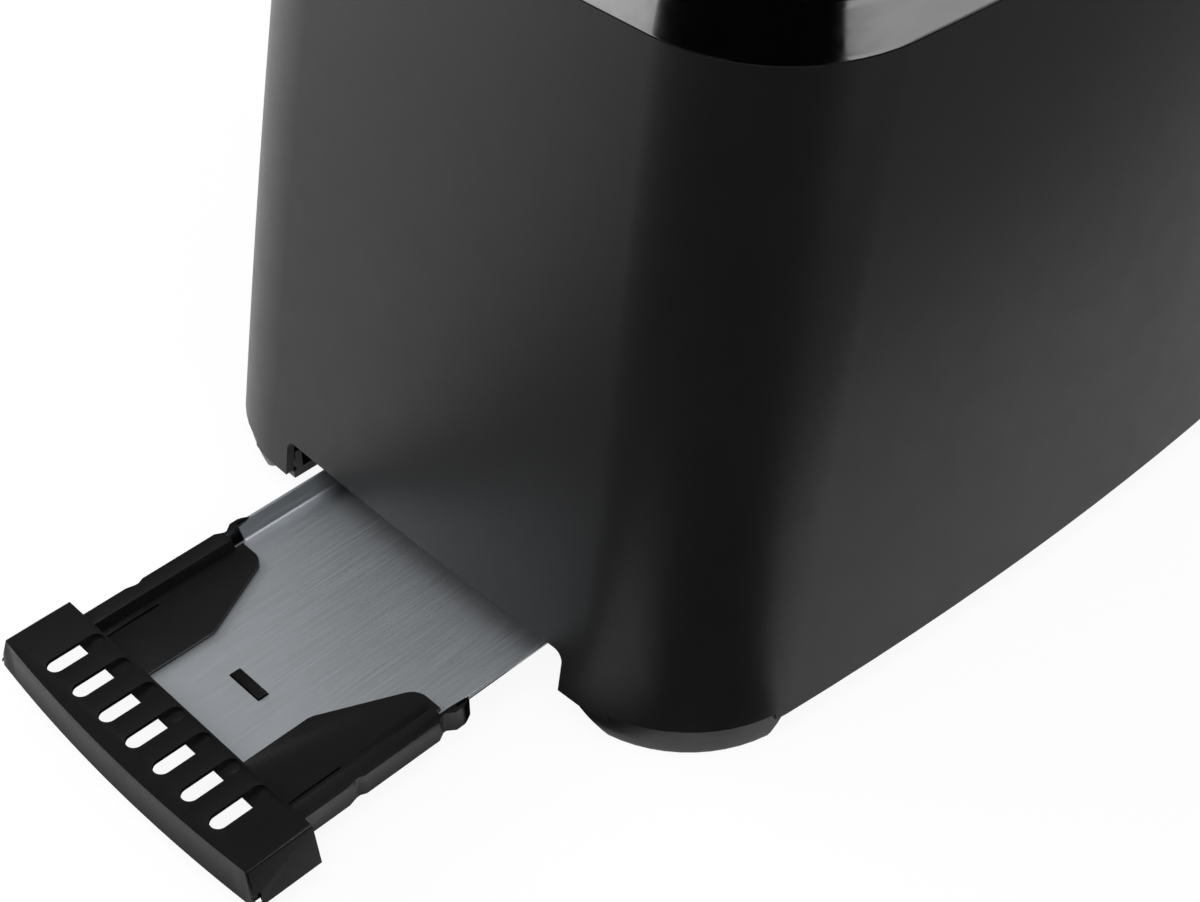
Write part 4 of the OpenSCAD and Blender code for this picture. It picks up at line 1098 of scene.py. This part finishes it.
def rounded_end(obj, x):
    """Rounds the two upright edges at one end of a slot cutter."""
    return round_edges(obj, lambda p: near(p.x, x), GRIP_W / 2 - 0.001, 10, along("Z"))


pocket = rounded_end(scribed("pocket", [(x, -GRIP_W / 2, z) for x, z in (
    (LEDGE_X - 1, LEDGE_Z - 0.2), (GRIP_END, BAR_TOP - 0.55), (GRIP_END, ABOVE), (LEDGE_X - 1, ABOVE))],
    pull=(0, GRIP_W, 0)), GRIP_END)
through = rounded_end(block("through", (GRIP_X, -GRIP_W / 2, LEDGE_Z - 1), (LEDGE_X, GRIP_W / 2, ABOVE)),
                      GRIP_X)
slot_cut = combine(pocket, through, how="UNION")
combine(handle, *copies(slot_cut, *[{"move": (0, i * GRIP_PITCH, 0)} for i in range(-3, 4)]))
soften(handle, 0.22, 2, 40, 42)
hand_in(handle, "crumb_tray", "black_plastic", "tray_handle", shift=TRAY_X)

# %% [markdown]
# ## The pan
# The pan is galvanised sheet, 0.6 mm thick. In front it is a plain floor with a
# window for the handle's barb; behind the arms its sides and its far end are
# turned up. The side rims lean out, and their top edges are bare cut steel that
# catches the light. A trough is a block whose upper faces are spread in Y, and
# a smaller trough is taken out of it to leave the sheet.

# %% Press the pan
PAN_HALF, RIM_LEAN, RIM_H, PAN_FRONT, PAN_END, RIM_X = 41.9, 2.7, 3.9, 9.5, 235, ARM_END - 2.9
BEND_OUT, BEND_IN, WINDOW_GAP = 1.0, 0.6, 0.3
FLOOR_HALF, PAN_LOW, PAN_HIGH = PAN_HALF - RIM_LEAN, PAN_Z - PAN_T, PAN_Z + RIM_H
SPREAD = RIM_LEAN / (PAN_HIGH - PAN_LOW)


def trough(name, x0, x1, low, high, inward, bend):
    """A block whose sides lean out as it rises, with two rounded edges below."""
    half = [FLOOR_HALF - inward + (z - PAN_LOW) * SPREAD for z in (low, high)]
    obj = spread_top(block(name, (x0, -half[0], low), (x1, half[0], high)), half[1] / half[0])
    return round_edges(obj, lambda p: near(p.z, low), bend, 4, along("X"))


pan = block("pan", (PAN_FRONT, -FLOOR_HALF, PAN_LOW), (PAN_END, FLOOR_HALF, PAN_Z))
level_t = PAN_T * math.hypot(RIM_LEAN, PAN_HIGH - PAN_LOW) / (PAN_HIGH - PAN_LOW)
combine(pan, trough("outer", RIM_X, PAN_END, PAN_LOW, PAN_HIGH, 0, BEND_OUT), how="UNION")
combine(pan, trough("inner", RIM_X - 1, PAN_END - PAN_T, PAN_Z, PAN_HIGH + 1, level_t, BEND_IN),
        block("window_cut", (CATCH_X[0] - WINDOW_GAP, -CATCH_HALF - WINDOW_GAP, 0),
              (CATCH_X[1] + WINDOW_GAP, CATCH_HALF + WINDOW_GAP, 20)))
soften(pan, 0.12, 2, 40)
hand_in(pan, "crumb_tray", "tray_steel", "tray_pan", shift=TRAY_X)

# %% [markdown]
# ## The base and its feet
# The base is a second moulding: a floor with an upstanding rim that stands
# inside the shell, four corner feet, and two channel walls with lips that guide
# the tray's rims. The floor and rim are a skin through outlines, like the shell.
# The feet are the same outlines pulled in towards the ground, of which four
# drafted blocks keep only the corners. Each foot rises into its notch in the
# shell's lower edge.

# %% Floor, rim and corner feet
BASE_Z0, BASE_Z1, RIM_TOP, RIM_T, FOOT_Z, INSIDE = 5.6, 8.2, 14.2, 2, 0.3, 2.6
BASE_AT = Z_LOW + 6
base = skin("base", [(BASE_Z0, Z_LOW, INSIDE), (BASE_Z1 - 0.4, Z_LOW, INSIDE), (BASE_Z1, BASE_AT, INSIDE),
                     (RIM_TOP, BASE_AT, INSIDE), (RIM_TOP - 0.1, BASE_AT, INSIDE + RIM_T),
                     (BASE_Z1, BASE_AT, INSIDE + RIM_T)])
feet = skin("feet", [(FOOT_Z, Z_LOW, 3), (FOOT_Z + 0.5, Z_LOW, 2.3), (FOOT_Z + 1.6, Z_LOW, 1.9),
                     (5, Z_LOW, 1.2), (FOOT_TOP, FOOT_TOP, 0.35)])
END, SIDE, DRAFT_X, DRAFT_Y = 171, 103.5, 3, 10.5
corner = block("corner", (FOOT_X - DRAFT_X, FOOT_Y - DRAFT_Y, 0), (END, SIDE, BASE_Z1 + 0.2))
pick_points(corner, lambda p: p.z < 1 and p.x < END - 1)
move_picked(corner, (DRAFT_X, 0, 0))
pick_points(corner, lambda p: p.z < 1 and p.y < SIDE - 1)
move_picked(corner, (0, DRAFT_Y, 0))
raised = block("raised", (FOOT_X + 0.05, FOOT_Y + 0.05, BASE_Z1 - 3), (END, SIDE, FOOT_TOP + 1))
combine(corner, raised, how="UNION")
corners = [corner] + [twin(corner, "corner_copy", mirror=(sx, sy, 1))
                      for sx, sy in ((-1, 1), (1, -1), (-1, -1))]
combine(feet, join("corners", *corners), how="INTERSECT")
combine(base, feet, how="UNION")
clean(base)
print("base with feet:", len(base.data.polygons), "faces")

# %% [markdown]
# The tray's end of the floor is open, because the handle hangs lower than the
# floor, and two grooves behind it take the handle's arms. Cooling slots, screw
# wells, pad recesses and the cord's hole are cuts as well.

# %% Cut the floor
CHANNEL_X0, CHANNEL_X1, CHANNEL_Y, CHANNEL_T, CHANNEL_TOP = -145, 79.9, 44.2, 2.5, 15.5
GROOVE_X, GROOVE_Y, GROOVE_Z = (-148.5, -38), (40.1, 43.3), 6.7
PAD_X, PAD_Y, PAD_R, PAD_H, GLAND, ROD = 149.09, 74.42, 7, 1.5, (125, 52), (101, 16)
VENT_PITCH, VENT_LAST, VENT_HALF, VENT_Y = 20, 60, 2.5, (53.2, 79.2)
WELL, HOLE, GLAND_HOLE = (3.8, 4.4), (1.7, 14), (6.05, 20)
BOSS_ROOM, PAD_ROOM, OUT_X, OPEN_X, CUT_TOP = (BOSS_R + 0.1, 10), (PAD_R + 0.05, PAD_H), -175, -147.5, 30
cuts = [block("mouth_floor", (OUT_X, -MOUTH_HALF, BASE_Z1 - 1), (CHANNEL_X0 - 0.5, MOUTH_HALF, CUT_TOP)),
        block("mouth_end", (OUT_X, -MOUTH_HALF + 0.01, -1), (OPEN_X, MOUTH_HALF - 0.01, 25)),
        rod("gland_hole", (*GLAND, 5), *GLAND_HOLE)]
cuts += [block("arm_groove", (GROOVE_X[0], s * GROOVE_Y[0], GROOVE_Z),
               (GROOVE_X[1], s * GROOVE_Y[1], CUT_TOP)) for s in SIDES]
vent = rounded_block("vent", (-VENT_HALF, VENT_Y[0], 0), (VENT_HALF, VENT_Y[1], 12), VENT_HALF - 0.1, "Z", 6)
cuts += copies(vent, *[{"move": (x, 0, 0), "mirror": (1, s, 1)}
                       for x in range(-VENT_LAST, VENT_LAST + 1, VENT_PITCH) for s in SIDES])
for sx, sy in CORNERS:
    x, y = sx * boss_at.x, sy * boss_at.y
    cuts += [rod("well", (x, y, 2), *WELL, sides=40), rod("hole", (x, y, 8), *HOLE, sides=24),
             rod("boss_room", (x, y, BASE_Z1 + 5), *BOSS_ROOM, sides=40),
             rod("pad_room", (sx * PAD_X, sy * PAD_Y, PAD_H / 2), *PAD_ROOM)]
combine(base, *cuts)
print("cuts in the base:", len(cuts))

# %% [markdown]
# The channel's two walls stand on the floor, with lips that turn in over the
# tray's rims. A socket beside them holds the lower end of the lift's guide rod.

# %% Channel walls, socket and hand-in
LIP_IN, LIP_T, SOCKET, SOCKET_BORE = 3.2, 1.5, (6, 8.6), (3.05, 10)
TONGUE_X, TONGUE_ROOM = (-146, -106), 8.5
for s in SIDES:
    wall = block("wall", (CHANNEL_X0, s * CHANNEL_Y, BASE_Z1 - 0.5),
                 (CHANNEL_X1, s * (CHANNEL_Y + CHANNEL_T), CHANNEL_TOP))
    lip = block("lip", (CHANNEL_X0, s * (CHANNEL_Y - LIP_IN), CHANNEL_TOP - LIP_T),
                (CHANNEL_X1, s * (CHANNEL_Y + 1), CHANNEL_TOP - 0.01))
    combine(base, combine(wall, lip, how="UNION"), how="UNION")
combine(base, rod("socket", (*ROD, BASE_Z1 + 3.7), *SOCKET, sides=40), how="UNION")
combine(base, rod("socket_bore", (*ROD, BASE_Z1 + 6), *SOCKET_BORE, sides=40),
        block("tongue_room", (TONGUE_X[0], -TONGUE_ROOM, BASE_Z1 - 1), (TONGUE_X[1], TONGUE_ROOM, CUT_TOP)))
soften(base, 0.3, 2, 42)
hand_in(base, "housing", "base_plastic", "base_plate")

# %% [markdown]
# Four rubber pads are pressed into the feet. They keep the toaster from
# sliding, and they stand proud of the feet, so that only rubber meets the
# table. A dished face and a rolled edge come from an inset and a bevel.

# %% Pads under the feet
DISH_EDGE, DISH_SLOPE, DISH_IN = 1.2, 0.5, 0.35
pad = rod("pad", (0, 0, PAD_H / 2), PAD_R, PAD_H, sides=64)
pick_faces(pad, lambda p, n: n.z < -0.9)
bpy.ops.mesh.inset(thickness=DISH_EDGE * MM)
bpy.ops.mesh.inset(thickness=DISH_SLOPE * MM)
move_picked(pad, (0, 0, DISH_IN))
pads = join("rubber_pads", *copies(pad, *[{"move": (sx * PAD_X, sy * PAD_Y, 0)} for sx, sy in CORNERS]))
hand_in(ease(pads, 0.3), "housing", "rubber", "foot_pads")

# %% [markdown]
# ## The control end
# A frame stands in the shell's window and follows its curve, one millimetre
# proud. Inside it lies a flat gloss panel with a slot for the lever, a hole for
# the dial's shaft and three windows for the buttons. The frame is a rounded
# ring, cut to the shell's own form grown by a millimetre with an intersection.

# %% The frame
PANEL_MID, PANEL_W, PANEL_H, PANEL_T = sum(PANEL_Z) / 2, 2 * PANEL_HALF, PANEL_Z[1] - PANEL_Z[0], 2.5


def upright(name, place, size, ends, radius, segments=8):
    """A block with rounded corners about a place on the panel, which runs along X between two ends."""
    (y, z), (width, height), (x0, x1) = place, size, ends
    return rounded_block(name, (x0, y - width / 2, z - height / 2), (x1, y + width / 2, z + height / 2),
                         radius, "X", segments)


bezel = upright("bezel", (0, PANEL_MID), (PANEL_W + 2 * BEZEL_WALL, PANEL_H + 2 * BEZEL_WALL),
                (PANEL_X - 4, PANEL_X + 50), PANEL_R + BEZEL_WALL, 14)
combine(bezel, upright("opening", (0, PANEL_MID), (PANEL_W, PANEL_H), (PANEL_X - 9, PANEL_X + 60),
                       PANEL_R, 14))
combine(bezel, skin("grown_form", [(z, z, -1) for z in (24, 50, 76, 96, 120, 144, 168)]), how="INTERSECT")
soften(bezel, 0.45)
hand_in(bezel, "housing", "black_plastic", "control_bezel")

# %% [markdown]
# The panel's openings are cut with rounded blocks and a rod, a little larger
# than what passes through them. Four posts on its back carry the timer board,
# and are joined on before the edges are eased.

# %% The panel
DIAL, BUTTON_Y, BUTTON_Z, BUTTON, FIT = (28, 64), -28, (58, 78, 98), (22, 11), 0.6
THROUGH = (PANEL_X - 9, PANEL_X + 9)
LEVER_SLOT, LEVER_Z, POST_Z, POST_Y, POST_R, POST_L = (5, 82), 103, (50, 106), 15.5, 2, 11.2
DIAL_HOLE = 4.7
panel = upright("panel", (0, PANEL_MID), (PANEL_W - 0.2, PANEL_H - 0.2), (PANEL_X - PANEL_T, PANEL_X),
                PANEL_R - 0.1, 14)
combine(panel, *[upright("window", (BUTTON_Y, z), (BUTTON[0] + FIT, BUTTON[1] + FIT), THROUGH, 2.3)
                 for z in BUTTON_Z],
        upright("lever_slot", (0, LEVER_Z), LEVER_SLOT, THROUGH, 2.4),
        rod("dial_hole", (PANEL_X, *DIAL), DIAL_HOLE, 20, "X"))
combine(panel, *[rod("post", (PANEL_X - PANEL_T - 5.4, BUTTON_Y + s * POST_Y, z), POST_R, POST_L, "X", 32)
                 for s in SIDES for z in POST_Z], how="UNION")
soften(panel, 0.3)
hand_in(panel, "housing", "gloss_black", "control_panel")

# %% [markdown]
# ## Dial, lever knob and buttons
# The dial is turned: a flange, a drum, and a soft top edge. Twenty-four flutes
# are cut with one cutter that is copied round, and a pointer bar crosses the
# face. The scale round it is seven short printed strokes, the longer ones at
# both ends of the turn.

# %% The browning dial
DIAL_X, DIAL_R, DIAL_H, FLANGE, FLUTES, FLUTE_R = PANEL_X + 2, 13, 14, 2, 24, 1
SHAFT_BORE = (3.03, 11.2)
DIAL_TOP = DIAL_X + DIAL_H
dial = rod("dial", (DIAL_X + (DIAL_H - 1) / 2, *DIAL), DIAL_R, DIAL_H - 1, "X", 96)
round_edges(dial, lambda p: near(p.x, DIAL_TOP - 1), 1.0, 4)
flute = rod("flute", (DIAL_X + 3 + DIAL_H / 2, DIAL[0], DIAL[1] + DIAL_R + 0.4), FLUTE_R, DIAL_H, "X", 20)
flutes = copies(flute, *[{}] * FLUTES)
combine(dial, join("flutes", *[turned(f, 360 / FLUTES * k, (DIAL_X, *DIAL)) for k, f in enumerate(flutes)]))
combine(dial, rod("flange", (DIAL_X + FLANGE / 2, *DIAL), DIAL_R + 1.5, FLANGE, "X", 96),
        upright("pointer_bar", DIAL, (3, 2 * DIAL_R - 2), (DIAL_X + 1, DIAL_TOP), 1.2, 6), how="UNION")
combine(dial, rod("shaft_bore", (DIAL_X + 4.5, *DIAL), *SHAFT_BORE, "X", 40))
soften(dial, 0.25, 3, 48)
hand_in(dial, "dial", "black_plastic", "browning_dial")

# %% Its pointer and scale
mark = upright("pointer_mark", (DIAL[0], DIAL[1] + 8.4), (0.9, 5.5), (DIAL_TOP - 0.1, DIAL_TOP + 0.08),
               0.4, 4)
hand_in(shade(mark), "dial", "nylon")
STROKE_R, STROKE_TURN = 15.7, 45
strokes = []
for k in range(-3, 4):
    long = 1.7 if abs(k) == 3 else 1.3
    stroke = upright("stroke", (DIAL[0], DIAL[1] + STROKE_R + long / 2), (0.7, long),
                     (PANEL_X - 0.05, PANEL_X + 0.06), 0.3, 3)
    strokes.append(turned(stroke, STROKE_TURN * k, (PANEL_X, *DIAL)))
hand_in(shade(join("dial_scale", *strokes)), "housing", "nylon")

# %% [markdown]
# The knob is what the thumb pushes down: a neck that takes the lever arm, and a
# wide cap with rounded edges. The shallow hollow on its top is what a very
# large rod leaves when it is taken out.

# %% Lever knob
KNOB_X, ARM_Z, KNOB_H, HOLLOW_R, ROOM_Y, ROOM_Z = PANEL_X + 3, 139, 14, 40, 1.51, 3.01
neck = upright("neck", (0, ARM_Z), (14, 10), (KNOB_X, KNOB_X + 9.5), 3)
cap = upright("knob", (0, ARM_Z), (28, KNOB_H), (KNOB_X + 8, KNOB_X + 18), 4.9)
round_edges(cap, lambda p: near(p.x, KNOB_X + 18), 3, 7)
round_edges(cap, lambda p: near(p.x, KNOB_X + 8), 1.2, 4)
combine(cap, neck, how="UNION")
combine(cap, rod("hollow", (KNOB_X + 14, 0, ARM_Z + KNOB_H / 2 + HOLLOW_R - 1), HOLLOW_R, 60, "X", 256),
        block("arm_room", (PANEL_X, -ROOM_Y, ARM_Z - ROOM_Z), (PANEL_X + 11.01, ROOM_Y, ARM_Z + ROOM_Z)))
soften(cap, 0.2, 2, smooth=45)
hand_in(cap, "lift_carriage", "gloss_black", "lever_knob")

# %% [markdown]
# The three buttons are one moulding repeated, with a flange that holds it
# behind the panel and a stem that meets its switch. A large sphere dishes the
# face. Each copy has its own mesh and moves on its own.

# %% Buttons
FRONT, REAR, DISH_R, DISH_DEEP = PANEL_X + 4, PANEL_X - PANEL_T - 0.1, 120, 0.6
KEY, STEM_R, STEM_L = (BUTTON_Y, BUTTON_Z[0]), 2.5, 4.1
key = upright("key", KEY, BUTTON, (REAR - 0.4, FRONT), 2)
round_edges(key, lambda p: near(p.x, FRONT), 0.9, 5)
deselect()
bpy.ops.mesh.primitive_uv_sphere_add(segments=128, ring_count=64, radius=DISH_R * MM,
                                     location=Vector((FRONT + DISH_R - DISH_DEEP, *KEY)) * MM,
                                     rotation=(0, math.pi / 2, 0))
combine(key, home("dish"))
combine(key, upright("key_flange", KEY, (BUTTON[0] + 3, BUTTON[1] + 3), (REAR - 1.5, REAR), 2),
        rod("stem", (REAR - 1.2 - STEM_L / 2, *KEY), STEM_R, STEM_L, "X", 32), how="UNION")
soften(key, 0.15, 2)
for name, z in zip(("cancel", "reheat", "defrost"), BUTTON_Z):
    hand_in(twin(key, name + "_key", move=(0, 0, z - BUTTON_Z[0])),
            "button_" + name, "black_plastic", name + "_button")
bpy.data.objects.remove(key)

# %% [markdown]
# ## Inside
# Through the slots one sees the wire cages that centre the bread, the racks,
# the mica boards with their flat heating ribbon, and the bright reflectors.
# Their construction shapes are already right: bent wire, flat sheet and wound
# strip. The lift's spring is the exception. It is a close coil of wire that
# stretches as the carriage goes down, so it is wound here with the Screw
# modifier, and its mesh bends between the housing and the carriage.

# %% Wind the lift spring
WIRE, TURNS, STEPS, SEAT, HOOK = 0.6, 30, 24, 3, 3.4
low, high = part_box("lift_spring")
spring_x, spring_y = (low.x + high.x) / 2, (low.y + high.y) / 2
radius = (high.x - low.x) / 2 - WIRE * MM
coil_low, coil_high = low.z + SEAT * MM, high.z - SEAT * MM
deselect()
bpy.ops.mesh.primitive_circle_add(vertices=10, radius=WIRE * MM, location=(radius, 0, 0),
                                  rotation=(math.pi / 2, 0, 0))
spring = home("spring_coil")
apply(spring, "SCREW", axis="Z", angle=2 * math.pi * TURNS, screw_offset=coil_high - coil_low,
      steps=STEPS * TURNS, render_steps=STEPS * TURNS, use_normal_calculate=True)
edit(clean(spring))
bpy.ops.mesh.select_non_manifold()
bpy.ops.mesh.edge_face_add()
face_outwards()
move_picked(spring, (spring_x / MM, spring_y / MM, coil_low / MM))
hooks = [rod("hook", ((spring_x + radius) / MM, spring_y / MM, z / MM), WIRE, HOOK, "Z", 16)
         for z in (low.z + HOOK / 2 * MM, high.z - HOOK / 2 * MM)]
spring = shade(join("spring_coil", spring, *hooks), 50)
print("spring:", len(spring.data.polygons), "faces from", round(low.z / MM, 1), "to", round(high.z / MM, 1))
wear(spring, "wire_steel")
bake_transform(spring, "lift_carriage", "housing", start=(spring_x, spring_y, low.z),
         end=(spring_x, spring_y, high.z))
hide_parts("lift_spring")

# %% [markdown]
# Every other inner piece keeps its construction shape and gets its finish. The
# record says which material each piece is made of, so one loop dresses them
# all, and prints what wears what.

# %% Dress the inner pieces
slot_of = {part["node"]: part["material_slot"] for part in frame["record"]["subparts"]}
dressed = {}
for name, obj in frame["nodes"].items():
    if obj.hide_render:
        continue
    wear(obj, slot_of[name])
    dressed.setdefault(slot_of[name], []).append(name)
for slot, names in dressed.items():
    print(slot, len(names), names)

# %% [markdown]
# ## Close
# The finished looks must fill the same box as the construction model.

# %% Compare the boxes and finish
visual_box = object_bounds()
difference = [round((b - a) / MM, 2) for p, q in zip(cad_box, visual_box) for a, b in zip(p, q)]
print("difference in mm:", difference)
